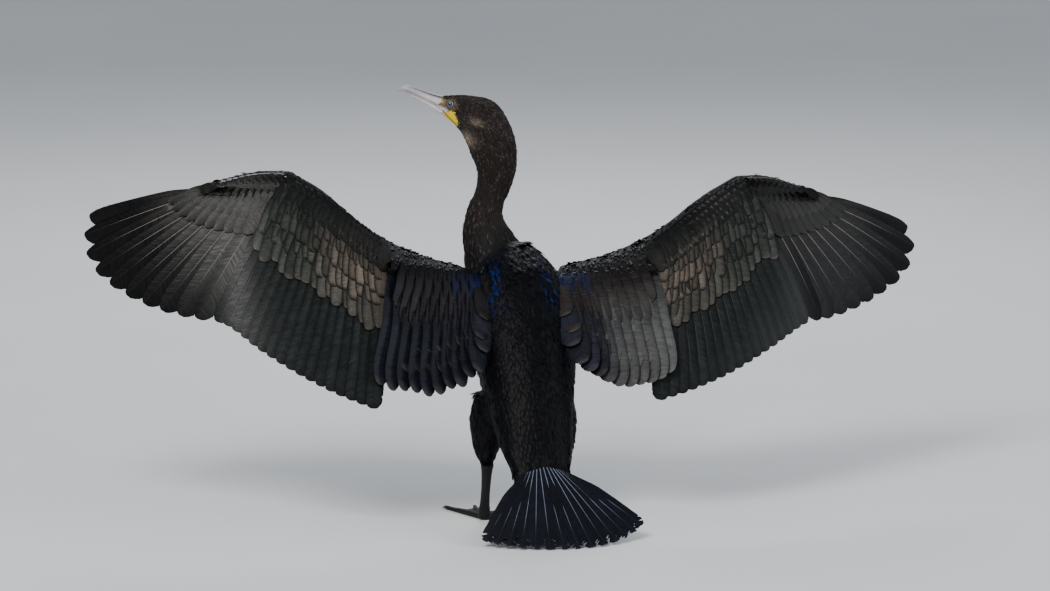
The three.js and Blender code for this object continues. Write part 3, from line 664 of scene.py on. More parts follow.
def build_skin():
    parts = [trunk(TORSO, 40, 40, -COAT)[0], trunk(NECK, 80, 32, -NECK_COAT)[0],
             trunk(TAIL_BASE, 16, 24, -COAT)[0]]
    parts += [trunk(thigh_stations(side), 20, 24, -COAT)[0] for side in (-1, 1)]
    parts += [wing_flesh(w) for w in wings.values()]
    points, faces = [], []
    count = 0
    for rings in parts:
        faces += ring_faces(rings.shape[0], rings.shape[1], count)
        points.append(rings.reshape(-1, 3))
        count += len(points[-1])
    piece = mesh_object("skin", np.concatenate(points), faces)
    remesh = piece.modifiers.new("one_surface", "REMESH")
    remesh.mode = "VOXEL"
    remesh.voxel_size = SKIN_VOXEL
    remesh.use_smooth_shade = True
    blend = piece.modifiers.new("blend", "SMOOTH")
    blend.iterations = 6
    blend.factor = 0.5
    bpy.context.view_layer.objects.active = piece
    piece.select_set(True)
    for modifier in ("one_surface", "blend"):
        bpy.ops.object.modifier_apply(modifier=modifier)
    return piece


skin = build_skin()
skin_points = np.empty(len(skin.data.vertices) * 3)
skin.data.vertices.foreach_get("co", skin_points)
skin_points = skin_points.reshape(-1, 3) * MM - SHIFT

# Which way the coat lies: samples of the lines of the body, each with a region and a direction

REGIONS = ["torso", "neck", "thigh", "arm", "tail"]
TORSO_REGION, NECK_REGION, _, ARM_REGION, _ = range(len(REGIONS))
LINE_REACH = 3  # nearer than this, a sample of a line gains no more weight
BLOCK = 4000  # points worked on at a time
samples = []


def add_line(region, centres, directions):
    for k, (p, d) in enumerate(zip(centres, directions)):
        samples.append((p, d, REGIONS.index(region), k / (len(centres) - 1)))


for region, stations, steps in (("torso", TORSO, 30), ("neck", NECK, 60)):
    _, centres, tangents = trunk(stations, steps, 8)
    add_line(region, centres, -tangents)
for side in (-1, 1):
    _, centres, tangents = trunk(thigh_stations(side), 12, 8)
    add_line("thigh", centres[3:], tangents[3:])
add_line("tail", *trunk(TAIL_BASE, 8, 8)[1:])
for w in wings.values():
    spans = np.linspace(0, 2, 50)
    add_line("arm", [w.point(s, -0.4 * w.depth(s), 0) for s in spans],
             [unit(w.back(s) + w.outward(s) * mix(0.15, 0.5, s / 2)) for s in spans])
    shares = np.linspace(0.25, 1, 12)
    add_line("arm", [mix(w.shoulder, w.bones[0], t) for t in shares],
             [unit(w.back(0) + w.outward(0) * 0.1) for t in shares])
line_points, line_dirs, line_region, line_share = (np.array(column) for column in zip(*samples))


def by_block(points):
    """A block of the points at a time, with their distances from the lines' samples."""
    for start in range(0, len(points), BLOCK):
        here = slice(start, start + BLOCK)
        yield here, np.linalg.norm(points[here][:, None] - line_points[None], axis=2)


def lie_field(points):
    """For each point, the coat's direction, its region and its place along the region's line."""
    directions = np.zeros_like(points)
    region = np.zeros(len(points), dtype=int)
    share = np.zeros(len(points))
    for here, distance in by_block(points):
        weight = 1 / np.maximum(distance, LINE_REACH) ** 5
        weight /= weight.sum(axis=1, keepdims=True)
        directions[here] = unit(weight @ line_dirs)
        nearest = distance.argmin(axis=1)
        region[here] = line_region[nearest]
        share[here] = line_share[nearest]
    return directions, region, share


# Markings and a painted blue glint, shared by skin and coat, as linear colours

BODY_BLACK = vec(0.0022, 0.0022, 0.0032)
# painted glint: the blue gloss of the black back, painted into the colour
PAINTED_BLUE_GLINT = vec(0.003, 0.012, 0.080)
NECK_BROWN = vec(0.014, 0.0105, 0.009)
HEAD_BROWN = vec(0.018, 0.0135, 0.012)
CHEEK_BUFF = vec(0.20, 0.155, 0.12)
GAPE_YELLOW = vec(0.85, 0.60, 0.03)
LORE_BROWN = vec(0.13, 0.10, 0.06)
LORE_YELLOW = vec(0.62, 0.44, 0.06)
MOUTH_DARK = vec(0.02, 0.012, 0.006)
ARM_BROWN = vec(0.006, 0.0055, 0.006)
COVERT_GREY = vec(0.034, 0.037, 0.032)
COVERT_BUFF = vec(0.115, 0.090, 0.072)
COVERT_EDGE = vec(0.004, 0.004, 0.004)
SECONDARY_GREY = vec(0.012, 0.0145, 0.0145)
PRIMARY_BLACK = vec(0.0018, 0.0017, 0.0018)
PRIMARY_BASE = vec(0.020, 0.016, 0.015)
SCAPULAR_SLATE = vec(0.013, 0.014, 0.022)
SCAPULAR_BROWN = vec(0.038, 0.030, 0.026)
# painted sheen: pale grey standing in for the gloss on the right wing's scapulars
SCAPULAR_PAINTED_SHEEN = vec(0.10, 0.10, 0.098)
FRINGE = vec(0.10, 0.085, 0.075)
SHAFT_PALE = vec(0.30, 0.27, 0.25)
SHAFT_DARK = vec(0.0015, 0.0015, 0.0015)
TAIL_BLACK = vec(0.0030, 0.0036, 0.0075)
TAIL_SHAFT = vec(0.17, 0.20, 0.27)
BILL_PALE = vec(0.60, 0.56, 0.56)
BILL_RIDGE = vec(0.05, 0.048, 0.055)
BILL_GROOVE, BILL_WORN = vec(0.55, 0.55, 0.6), vec(0.5, 0.5, 0.55)  # shares of the bill's colour
IRIS = vec(0.12, 0.19, 0.25)
PUPIL_BLACK = vec(0.002, 0.002, 0.003)
EYE_DARK = vec(0.01, 0.009, 0.008)


def blend_to(colour, other, amount):
    return colour * (1 - amount[:, None]) + other * amount[:, None]


def head_place(points):
    """How far the points lie ahead of the bill's root and above it."""
    away = points - BILL_ROOT
    return away @ HEAD_AHEAD, away @ BILL_UP


# Marks on the head, each by its place ahead and up and its size both ways
CHEEK_MARK = (-46, -3, 10, 5)
THROAT_MARK = (-42, -31, 12, 9)
LORE_SPOT = (7.5, 3.6, 3, 1.8)
EYE_RING, EYE_RING_WIDTH = 6.4, 1.4

# The bare yellow skin behind and below the bill, as corners of distance ahead and up
GAPE_CORNERS = [(-0.5, -12.7), (-11.4, -2.2), (-24, -12.5), (-27, -20), (-20, -24), (-3.4, -18)]
SOFT_EDGE = 0.6


def soft_mark(ahead, up, mark):
    x, y, long, high = mark
    return np.exp(-(((ahead - x) / long) ** 2) - ((up - y) / high) ** 2)


def gape_patch(points):
    """How far each point lies in the bare yellow skin."""
    ahead, up = head_place(points)
    inside = np.full(len(points), np.inf)
    for (x0, y0), (x1, y1) in zip(GAPE_CORNERS, GAPE_CORNERS[1:] + GAPE_CORNERS[:1]):
        length = math.hypot(x1 - x0, y1 - y0)
        inside = np.minimum(inside, ((x1 - x0) * (up - y0) - (y1 - y0) * (ahead - x0)) / length)
    return smoothstep(-SOFT_EDGE, SOFT_EDGE, inside)


def markings_and_painted_glint(points, region, share):
    """Base colours by place, with a painted blue glint in stripes over the upper back."""
    x, y, z = points.T
    torso, neck, arm = (region == wanted for wanted in (TORSO_REGION, NECK_REGION, ARM_REGION))
    # painted glint: blue sheen painted in stripes high on the back, towards the shoulders
    glint = smoothstep(285, 330, z) * smoothstep(110, 60, y)
    glint = glint * smoothstep(15, 45, np.abs(x)) * (np.sin(x * 0.9) > 0.45)
    ahead, up = head_place(points)
    cheek = soft_mark(ahead, up, CHEEK_MARK) * 0.7
    buff = np.clip(cheek + soft_mark(ahead, up, THROAT_MARK), 0, 1)
    ring = np.exp(-(((np.hypot(ahead - EYE_AHEAD, up - EYE_UP) - EYE_RING) / EYE_RING_WIDTH) ** 2))
    lore = smoothstep(-4, -1, ahead) * smoothstep(-4, -2, up) * smoothstep(9.5, 7.5, up)
    horn = smoothstep(-7, -5, ahead) * smoothstep(-2, -4, up)
    colour = np.tile(BODY_BLACK, (len(points), 1))
    for other, amount in (
        (PAINTED_BLUE_GLINT, torso * glint * 0.8),
        (NECK_BROWN, neck * smoothstep(0.02, 0.25, share)),
        (HEAD_BROWN, neck * smoothstep(0.4, 0.7, share)),
        (CHEEK_BUFF, neck * buff * 0.8),
        (LORE_BROWN, neck * np.clip(lore + 0.8 * ring, 0, 1)),
        (LORE_YELLOW, neck * soft_mark(ahead, up, LORE_SPOT)),
        (BILL_PALE * 0.85, neck * horn),
        (GAPE_YELLOW, neck * gape_patch(points)),
        (ARM_BROWN, arm * 0.9),
    ):
        colour = blend_to(colour, other, amount)
    return colour


_, skin_region, skin_share = lie_field(skin_points)
store_tint(skin.data, markings_and_painted_glint(skin_points, skin_region, skin_share))
finish_piece(skin, skin_material(), "body_plumage", "torso", "neck_lower", "neck_upper", "head",
             "thigh_left", "thigh_right", "wing_left_upper_arm", "wing_right_upper_arm")


def unwrap_place(points, region, share):
    """Where a tuft's colour is kept: the skin rolled out, a strip for each region."""
    across = np.zeros(len(points))
    for here, distance in by_block(points):
        near = distance.argmin(axis=1)
        away = points[here] - line_points[near]
        side = unit(np.cross(line_dirs[near], UP) + 1e-6)
        other = np.cross(side, line_dirs[near])
        turn = np.arctan2((away * other).sum(axis=1), (away * side).sum(axis=1))
        across[here] = turn / (2 * math.pi) + 0.5
    return np.column_stack([(region + 0.05 + 0.9 * across) / len(REGIONS), 0.03 + 0.94 * share])


# Small feathers over the skin


def sample_skin(count, keep):
    """Seeded random places on the skin with their normals, thinned by a chance at each face."""
    mesh = skin.data
    mesh.calc_loop_triangles()
    triangles = np.empty(len(mesh.loop_triangles) * 3, dtype=np.int64)
    mesh.loop_triangles.foreach_get("vertices", triangles)
    corners = skin_points[triangles.reshape(-1, 3)]
    cross = np.cross(corners[:, 1] - corners[:, 0], corners[:, 2] - corners[:, 0])
    middle = corners.mean(axis=1)
    directions, region, share = lie_field(middle)
    weight = np.linalg.norm(cross, axis=1) * keep(middle, region, share)
    chosen = rng.choice(len(middle), size=count, p=weight / weight.sum())
    a, b = np.sqrt(rng.random(count)), rng.random(count)
    spot = corners[chosen]
    shares = np.stack([1 - a, a * (1 - b), a * b], axis=1)[:, :, None]
    places = spot[:, 0] * shares[:, 0] + spot[:, 1] * shares[:, 1] + spot[:, 2] * shares[:, 2]
    return places, unit(cross[chosen]), directions[chosen], region[chosen], share[chosen]


# A tuft's stops from root to tip, with its width, height and thickness at each
TUFT_STOPS = np.array([0.0, 0.38, 0.76, 1.0])
TUFT_WIDE = (0.35, 1.0, 0.8, 0.0)
TUFT_RISE = (-1.2, 0.55, 0.9, 0.7)
TUFT_THICK = (0.25, 0.35, 0.25, 0.1)
EDGE_DROP = 0.12
STRAY = 0.07


def tuft_faces():
    """Three rings of four points and a last one at the tip."""
    shape = []
    for r in (0, 4):
        for k in range(4):
            a, b = r + k, r + (k + 1) % 4
            shape += [(a, a + 4, b + 4), (a, b + 4, b)]
    shape += [(8 + k, 12, 8 + (k + 1) % 4) for k in range(4)]
    return np.array(shape + [(0, 1, 2), (0, 2, 3)])


def tufts(name, material, slot, sample, lengths, widths, lift, droop, tints, tips):
    """Small pointed vanes of lens section, rooted under the skin and lying along it."""
    places, normals, directions, region, share = sample
    count = len(places)
    ahead = unit(directions - normals * (directions * normals).sum(axis=1, keepdims=True))
    ahead = unit(ahead + rng.normal(0, STRAY, (count, 3)))
    side = unit(np.cross(normals, ahead))
    columns = []
    for s, w, h, t in zip(TUFT_STOPS, TUFT_WIDE, TUFT_RISE, TUFT_THICK):
        height = (h if h < 0 else h * lift) - droop * (s * lengths) ** 2
        centre = places + ahead * (s * lengths)[:, None] + normals * height[:, None]
        if w == 0:
            columns.append(centre)
            continue
        half = side * (w * widths / 2)[:, None]
        edge = centre - normals * (EDGE_DROP * w * widths)[:, None]
        body = normals * t
        columns += [edge + half, centre + body, edge - half, centre - body]
    points = np.stack(columns, axis=1)
    size = len(columns)
    faces = (tuft_faces()[None] + (np.arange(count) * size)[:, None, None]).reshape(-1, 3)
    along = np.repeat(TUFT_STOPS, [4, 4, 4, 1])
    across = np.array([1, 0, -1, 0] * 3 + [0])
    tip = smoothstep(0.45, 0.95, along)[None, :, None]
    colour = tints[:, None] * (1 - tip) + tips[:, None] * tip
    pick = np.repeat(rng.random(count), size).reshape(count, size)
    lie = np.stack([np.tile(along, (count, 1)), np.tile(across, (count, 1)), pick], axis=2)
    spread = 0.0015 * np.stack([across, 2 * along - 1], axis=1)
    patch = unwrap_place(places, region, share)[:, None] + spread[None]
    pile = Pile()
    pile.add(points.reshape(-1, 3), faces, colour.reshape(-1, 3), lie.reshape(-1, 3), patch.reshape(-1, 2))
    pile.make(name, material, slot)


def cover_body(name, count, wanted, length, width):
    """Short dense feathers over the regions named in wanted."""
    chosen = [REGIONS.index(region) for region in wanted]
    sample = sample_skin(count, lambda points, region, share: np.isin(region, chosen) * (points[:, 2] > 60))
    lengths = rng.uniform(0.8, 1.2, count) * length
    widths = width * rng.uniform(0.8, 1.15, count)
    tints = markings_and_painted_glint(sample[0], *sample[3:]) * rng.uniform(0.6, 1.5, count)[:, None]
    tufts(name, body_material, "body_plumage", sample, lengths, widths, 0.4, 0.0035, tints, tints * 1.15)


PALE_TIPS = 0.22  # the share of the head's feathers with pale tips
PALE_TIP = vec(0.05, 0.040, 0.034)
BARE_RIM = 1.2  # bare skin round the eye


def cover_neck(name, low, high, count, length_at):
    """Fine feathers over a length of the neck and head, outside the bare skin."""

    def keep(points, region, share):
        ahead, up = head_place(points)
        eyes = np.minimum(*(np.linalg.norm(points - eye_centre(left), axis=1) for left in (1, -1)))
        feathered = ((ahead < -9) | (up > 9)) & (gape_patch(points) < 0.3) & (eyes > EYE_R + BARE_RIM)
        return (region == NECK_REGION) * (share >= low) * (share < high) * feathered

    sample = sample_skin(count, keep)
    share = sample[4]
    lengths = length_at(share) * rng.uniform(0.8, 1.2, count)
    tints = markings_and_painted_glint(sample[0], *sample[3:]) * rng.uniform(0.5, 1.4, count)[:, None]
    pale = (rng.random(count) < PALE_TIPS)[:, None]
    ends = np.where(pale, tints * 2.5 + PALE_TIP, tints)
    droop = np.interp(share, [0, 0.3, 1], [0.004, 0.010, 0.012])
    tufts(name, head_material, "head_plumage", sample, lengths, lengths * 0.24, 0.5, droop, tints, ends)


cover_body("body_feathers", 8700, ["torso", "tail"], 15, 7.5)
cover_body("thigh_and_arm_feathers", 6000, ["thigh", "arm"], 11, 5)
cover_neck("neck_feathers", 0.0, 0.55, 7500, lambda share: np.interp(share, [0, 0.2, 0.55], [18, 12, 9]))
cover_neck("head_feathers", 0.55, 1.01, 8800, lambda share: np.interp(share, [0.55, 0.8, 1], [8, 6, 3]))

# Long feathers: rows of barbs that slant forward off a shaft


VANE_STOPS = np.concatenate([np.linspace(0, 0.8, 20), np.linspace(0.8, 1, 15)[1:]])
VANE_COLUMNS = np.array([-1, -0.7, -0.35, 0, 0.35, 0.7, 1])
ALONG, BESIDE = np.meshgrid(VANE_STOPS, VANE_COLUMNS, indexing="ij")
VANE_DROOP = 0.035
SPLIT_ROWS = 11  # near the tip, where a vane may split
SHAFT_SIDES = 5
SHINGLE = math.radians(7)
FLIGHT_THICK = 0.8


def outline(t, root, blunt):
    """A feather's width as a share of its widest, from the quill to its tip."""
    grow = mix(root, 1, smoothstep(0, 0.35, t))
    close = np.sqrt(np.clip(1 - ((np.clip(t, blunt, 1) - blunt) / (1 - blunt)) ** 2, 0, 1))
    return grow * close


def vane_faces(rows, columns):
    """Triangles round a thin vane, whose lower points follow the upper ones."""
    under = rows * columns
    faces = []
    for r in range(rows - 1):
        for k in range(columns - 1):
            a = r * columns + k
            b, c, d = a + 1, a + columns + 1, a + columns
            faces += [(a, b, c), (a, c, d)]
            faces += [(a + under, c + under, b + under), (a + under, d + under, c + under)]
        for k in (0, columns - 1):
            a, d = r * columns + k, (r + 1) * columns + k
            faces += [(a, d, d + under), (a, d + under, a + under)]
    for r in (0, rows - 1):
        for k in range(columns - 1):
            a = r * columns + k
            faces += [(a, a + 1 + under, a + 1), (a, a + under, a + 1 + under)]
    return np.array(faces)


def rod_faces(count, sides):
    faces = []
    for a in range((count - 1) * sides):
        b = a // sides * sides + (a + 1) % sides
        faces += [(a, b, b + sides), (a, b + sides, a + sides)]
    end = (count - 1) * sides
    for k in range(1, sides - 1):
        faces += [(0, k + 1, k), (end, end + k, end + k + 1)]
    return np.array(faces)


VANE_FACES = vane_faces(len(VANE_STOPS), len(VANE_COLUMNS))
SHAFT_FACES = rod_faces(len(VANE_STOPS) - 1, SHAFT_SIDES)


def fine_feather(pile, centre_at, up, lead_at, width, share, thick, roll, colours, patch, blunt=0.72,
                 root=0.2, fray=0.05, slant=0.75, shaft_size=1.5, tip_band=0.06, splits=1, depth=0.12):
    """One long feather. colours holds its base, vane, edge, tip and shaft tints."""
    stops, rows = VANE_STOPS, len(VANE_STOPS)
    centres = np.array([centre_at(t) for t in stops])
    tangent = unit(np.gradient(centres, axis=0))
    lead = np.array([lead_at(t) for t in stops])
    flat = unit(lead - tangent * (tangent * lead).sum(axis=1, keepdims=True))
    top = np.cross(flat, tangent)
    top *= np.sign((top @ up))[:, None]
    side = flat * math.cos(roll) + top * math.sin(roll)
    top = top * math.cos(roll) - flat * math.sin(roll)
    wide = width * outline(stops, root, blunt)
    fore, aft = np.ones(rows), np.ones(rows)
    for worn in (fore, aft):
        worn -= fray * rng.random(rows) * smoothstep(0.3, 1, stops)
        for _ in range(splits):
            worn[rng.integers(rows - SPLIT_ROWS, rows - 1)] *= 1 - depth * rng.random()
    grid = np.zeros((*ALONG.shape, 3))
    for k, c in enumerate(VANE_COLUMNS):
        reach, worn = (share, fore) if c > 0 else (1 - share, aft)
        spread = c * reach * wide * (1 - (1 - worn) * abs(c))
        barb = np.abs(spread) * slant * smoothstep(0, 0.15, stops) * (1 - smoothstep(0.86, 1, stops) * 0.6)
        droop = VANE_DROOP * np.abs(spread) * abs(c)
        grid[:, k] = centres + side * spread[:, None] + tangent * barb[:, None] - top * droop[:, None]
    half = thick / 2 * (1 - 0.55 * np.abs(BESIDE)) * (1 - 0.4 * ALONG)
    rise = top[:, None] * half[:, :, None]
    points = np.concatenate([(grid + rise).reshape(-1, 3), (grid - rise).reshape(-1, 3)])
    base_tint, vane_tint, edge_tint, tip_tint, shaft_tint = colours
    tone = rng.uniform(0.85, 1.15)
    outer = smoothstep(0.2, 0.65, ALONG)[..., None]
    rim = smoothstep(0.5, 1.0, np.abs(BESIDE))[..., None]
    end = smoothstep(1 - tip_band, 1.0, ALONG)[..., None]
    tint = (base_tint * (1 - outer) + vane_tint * outer) * tone
    tint = tint * (1 - rim) + edge_tint * tone * rim
    tint = tint * (1 - end) + tip_tint * end
    lie = np.stack([ALONG, BESIDE, np.full_like(ALONG, rng.random())], axis=2)
    place = patch + 0.5 * np.stack([BESIDE * 0.012, ALONG * 0.11], axis=2)
    both = (np.tile(values.reshape(-1, values.shape[-1]), (2, 1)) for values in (tint, lie, place))
    pile.add(points, VANE_FACES, *both)
    shaft(pile, centres[:-1], side[:-1], top[:-1], thick, shaft_size, shaft_tint, patch)


def shaft(pile, centres, side, top, thick, size, tint, patch):
    """The rachis: a tapered rod, half sunk in the vane."""
    stops = VANE_STOPS[:-1]
    radius = size * (1 - 0.82 * stops) / 2
    sunk = centres + top * (thick * 0.25)
    points = np.stack([sunk + side * (radius * c)[:, None] + top * (radius * s * 1.25)[:, None]
                       for c, s in circle(SHAFT_SIDES)], axis=1)
    along = np.repeat(stops, SHAFT_SIDES)
    middle = np.zeros(len(along))
    fade = 1 - 0.85 * smoothstep(0.6, 0.85, along)
    lie = np.column_stack([along, middle, middle])
    place = patch + np.column_stack([middle + 0.0075, 0.055 * along])
    pile.add(points.reshape(-1, 3), SHAFT_FACES, tint * fade[:, None], lie, place)


def patch_cell(index):
    """A cell of the map of long feathers, 50 across and 8 up."""
    return np.array([0.01 + 0.0195 * (index % 50), 0.06 + 0.12 * (index // 50)])


def flight_feather(pile, w, span, width, share, lift, colours, patch, **shape):
    length = w.length(span) * 0.985
    fine_feather(pile, lambda t: w.point(span, mix(1, length, t), lift * (1 - t)), w.dorsal(span),
                 lambda t: w.lead(span, t), width, share, FLIGHT_THICK, SHINGLE, colours, patch, **shape)


COVERT_ROWS = [
    # share of the patagium, reach behind the bones, height, width, buff, shade, shade on the hand
    (0.10, 0.50, 5.8, 23, 0.3, 1.0, 0.6),
    (0.24, 0.37, 7.6, 21, 0.75, 0.95, 0.9),
    (0.38, 0.26, 9.4, 19, 1.0, 0.85, 0.6),
    (0.52, 0.16, 11.0, 17, 0.8, 0.6, 0.4),
    (0.68, 0.08, 12.4, 16, 0.2, 0.3, 0.25),
    (0.82, 0.01, 13.2, 15, 0.0, 0.15, 0.15),
]
LEAST_COVERT = 32


def covert(pile, w, span, row, reach, width, lift, colours, patch, side=1):
    """A covert over the flight feathers, or under them where side is -1."""
    start, _, high = row[:3]
    root = -start * w.depth(span)
    end = max(reach, root + LEAST_COVERT)

    def centre_at(t):
        rise = mix(1.0, high + lift, smoothstep(0, 0.3, t)) - 2.0 * smoothstep(0.3, 1, t)
        return w.point(span, mix(root, end, t), rise * side)

    fine_feather(pile, centre_at, w.dorsal(span) * side,
                 lambda t: w.lead(span, mix(root, end, t) / w.length(span)), width, 0.42, 0.7,
                 math.radians(5.5) * side, colours, patch, blunt=0.5, root=0.5, fray=0.06, slant=0.5,
                 shaft_size=0.7, tip_band=0.1, splits=2)


HUMERAL_TIERS = [
    # how many, how far the roots gather at the shoulder, reach, width, height over the arm and at the tip,
    # then the share of painted pale sheen on the right, the brown share on the left and the shade
    (10, 0.03, 1.0, 37, 13, 0, 0.8, 0.0, 1.0),
    (9, 0.28, 0.84, 37, 15, 6, 1.0, 0.1, 1.0),
    (9, 0.26, 0.68, 35, 17.5, 14, 0.9, 0.2, 0.9),
    (9, 0.20, 0.52, 33, 19.5, 18, 0.25, 0.5, 0.8),
    (9, 0.12, 0.37, 31, 21, 19, 0.0, 0.5, 0.6),
    (9, 0.05, 0.24, 24, 21, 18, 0.0, 0.2, 0.4),
    (9, 0.0, 0.13, 20, 19, 15, 0.0, 0.0, 0.25),
]


def humeral_feather(pile, w, inner, tier, colours, patch):
    """A long scapular or tertial over the upper arm; inner is 0 at the elbow and 1 at the shoulder."""
    _, gather, reach, width, height, drop = tier[:6]
    start = mix(w.bones[0], w.shoulder, mix(gather, 1, inner))
    end = mix(start, w.humeral_edge.at(inner), reach * rng.uniform(0.96, 1.0))
    lateral = unit(w.bones[0] - w.shoulder)
    top = unit(np.cross(lateral, unit(end - start)))
    top = -top if top[1] > 0 else top

    def centre_at(t):
        rise = mix(3, height, smoothstep(0, 0.12, t)) + 3 * math.sin(math.pi * min(t, 0.9))
        return mix(start, end, t) + top * mix(rise, drop, smoothstep(0.45, 1, t))

    fine_feather(pile, centre_at, top, lambda t: lateral, width, 0.45, 0.8, SHINGLE, colours, patch,
                 blunt=0.72, root=0.7, fray=0.06, slant=0.45, shaft_size=1.0, tip_band=0.1)


SECONDARY = (SECONDARY_GREY * 1.5, SECONDARY_GREY, COVERT_EDGE, COVERT_EDGE * 2, SHAFT_DARK)
PRIMARY = (PRIMARY_BASE, PRIMARY_BLACK, PRIMARY_BLACK, PRIMARY_BLACK, SHAFT_PALE)
UNDER_COVERT = (ARM_BROWN, ARM_BROWN, ARM_BROWN, ARM_BROWN * 2, SHAFT_DARK)
FOREARM = (0.03, 0.95)
HAND = (1.08, 1.93)


def lay_flight_feathers(w, forearm, hand, cells):
    for i in range(SECONDARIES):
        tone = rng.uniform(0.75, 1.25)
        flight_feather(forearm, w, mix(*FOREARM, i / (SECONDARIES - 1)), 26, 0.42, 0,
                       [tint * tone for tint in SECONDARY], next(cells), blunt=0.88)
    for i in range(PRIMARIES):
        t = i / (PRIMARIES - 1)
        colours = PRIMARY if t < 1 else (*PRIMARY[:4], SHAFT_DARK)
        flight_feather(hand, w, mix(1.07, 1.97, t), mix(35, 28, t * t), mix(0.38, 0.28, t), -2.6 * t,
                       colours, next(cells), root=0.16, blunt=0.78, shaft_size=1.2)


def lay_coverts(w, pile, cells):
    """Six rows over the forearm and the hand, and two under the wing."""
    for r, row in enumerate(COVERT_ROWS):
        count = 16 + r
        for i in range(count):
            t = np.clip((i + 0.5 * (r % 2) + rng.uniform(-0.28, 0.28)) / (count - 0.5), 0, 1)
            span = mix(*FOREARM, t)
            buff = (1 - smoothstep(0.2, 0.75, t)) * row[4]
            centre = mix(COVERT_GREY, COVERT_BUFF, buff) * row[5] * rng.uniform(0.65, 1.25)
            fringe = mix(COVERT_EDGE, FRINGE, 0.6 * (r == 0))
            colours = (centre * 0.3, centre * 1.15, COVERT_EDGE, fringe, SHAFT_DARK)
            reach = row[1] * w.length(span) * rng.uniform(0.9, 1.05)
            covert(pile, w, span, row, reach, row[3] * 1.4, 0, colours, next(cells))
    for r, row in enumerate(COVERT_ROWS):
        for i in range(10):
            t = np.clip((i + 0.5 * (r % 2)) / 9.5, 0, 1)
            span = mix(*HAND, t)
            centre = mix(PRIMARY_BASE, COVERT_GREY, 0.4) * row[6]
            base = PRIMARY_BASE * (1.6 if r == 0 else 0.8)
            colours = (base, centre, centre * 0.4, centre * 1.3, SHAFT_DARK)
            covert(pile, w, span, row, (row[1] - 0.12) * w.length(span), mix(26, 17, t), -2 * t, colours,
                   next(cells))
    for row in (COVERT_ROWS[0], COVERT_ROWS[2]):
        for i in range(20):
            span = mix(0.05, 1.85, i / 19)
            covert(pile, w, span, row, row[1] * w.length(span) * 0.8, 22, 0, UNDER_COVERT,
                   next(cells), -1)


def lay_humerals(name, w, pile):
    cells = map(patch_cell, itertools.count())
    for r, tier in enumerate(HUMERAL_TIERS):
        count, (pale, brown, shade) = tier[0], tier[6:]
        for i in range(count):
            t = np.clip((i + 0.5 * (r % 2)) / (count - 0.5), 0, 1)
            inner = mix(0.03, 1.0, t)
            centre = mix(SCAPULAR_SLATE, SCAPULAR_BROWN, brown)
            if name == "right":
                # painted sheen: the right wing's inner scapulars are painted pale grey, the left wing's are
                # not
                centre = mix(SCAPULAR_SLATE, SCAPULAR_BROWN, 0.8 * (1 < r < 6))
                centre = mix(centre, SCAPULAR_PAINTED_SHEEN, smoothstep(0.75, 0.5, inner) * pale)
            centre = centre * shade * rng.uniform(0.75, 1.2)
            # painted glint: blue sheen painted onto some of the upper scapulars near the shoulder
            if r > 3 and inner > 0.7:
                centre = mix(centre, PAINTED_BLUE_GLINT, 0.7 * rng.random())
            colours = (centre * 0.5, centre, centre * 0.45, mix(centre, FRINGE, 0.35), SHAFT_DARK)
            humeral_feather(pile, w, inner, tier, colours, next(cells))


for name, w in wings.items():
    forearm, hand, coverts, humeral = Pile(), Pile(), Pile(), Pile()
    cells = map(patch_cell, itertools.count())
    lay_flight_feathers(w, forearm, hand, cells)
    lay_coverts(w, coverts, cells)
    lay_humerals(name, w, humeral)
    forearm.make(f"secondaries_{name}", flight_material, "wing_plumage", f"wing_{name}_forearm")
    hand.make(f"primaries_{name}", flight_material, "flight_feathers", f"wing_{name}_hand")
    coverts.make(f"coverts_{name}", flight_material, "wing_plumage")
    humeral.make(f"scapulars_{name}", flight_material, "body_plumage")

TAIL_SPREAD = math.radians(42)
TAIL_LENGTHS = (180, 166)  # of the middle feathers and the outermost
TAIL_COLOURS = (TAIL_BLACK, TAIL_BLACK, TAIL_BLACK, TAIL_BLACK * 2, TAIL_SHAFT)


def tail_feather(pile, i):
    t = 2 * i / (TAIL_FEATHERS - 1) - 1
    angle = t * TAIL_SPREAD
    length = mix(*TAIL_LENGTHS, t * t)
    rise = 4.5 * (1 - abs(t))
    back = math.cos(angle) * length
    foot = vec(math.sin(angle) * length + 4, -84 - back * 0.76, 0.9 + 13 * t * t + 6 * t**3)
    start = vec(math.sin(angle) * 40 - 8, -115, 88 + rise)
    up = np.cross(vec(math.cos(angle), math.sin(angle), 0), unit(foot - start))
    up = unit(up if up[2] > 0 else -up)
    fine_feather(pile, lambda f: mix(start, foot, f) + up * (9 * f * (1 - f) + rise * (1 - f)), up,
                 lambda f: vec(math.copysign(1, t), 0, 0), 23, 0.45, 1.0, -SHINGLE * 0.9, TAIL_COLOURS,
                 patch_cell(i), blunt=0.86, root=0.34, fray=0.08, shaft_size=1.5, splits=5, depth=0.75)


tail = Pile()
for i in range(TAIL_FEATHERS):
    tail_feather(tail, i)
tail.make("tail_feathers", flight_material, "flight_feathers", "tail")

# The bill: the solids' mandibles with a ridge, a groove along each side and finer edges

UPPER_BILL = [
    # ahead of the bill's root, half width, top and bottom
    (1, 8.6, 11.6, -6.6),
    (8, 7.9, 10.3, -5.4),
    (20, 6.4, 8.3, -3.8),
    (38, 5.0, 7.0, -2.6),
    (50, 4.4, 6.9, -2.5),
    (58, 4.0, 6.2, -2.9),
    (63.5, 3.0, 3.8, -4.4),
    (67, 1.8, 0.2, -6.6),
    (68.3, 0.8, -4.6, -7.6),
]
LOWER_BILL = [
    (1, 8.0, -5.6, -15.4),
    (8, 7.4, -5.4, -13.9),
    (20, 5.8, -4.6, -11.2),
    (38, 4.6, -3.4, -8.4),
    (50, 3.9, -3.2, -7.4),
    (59, 2.4, -3.7, -5.8),
]


GROOVE = 0.55  # how deep the upper mandible's side groove is cut


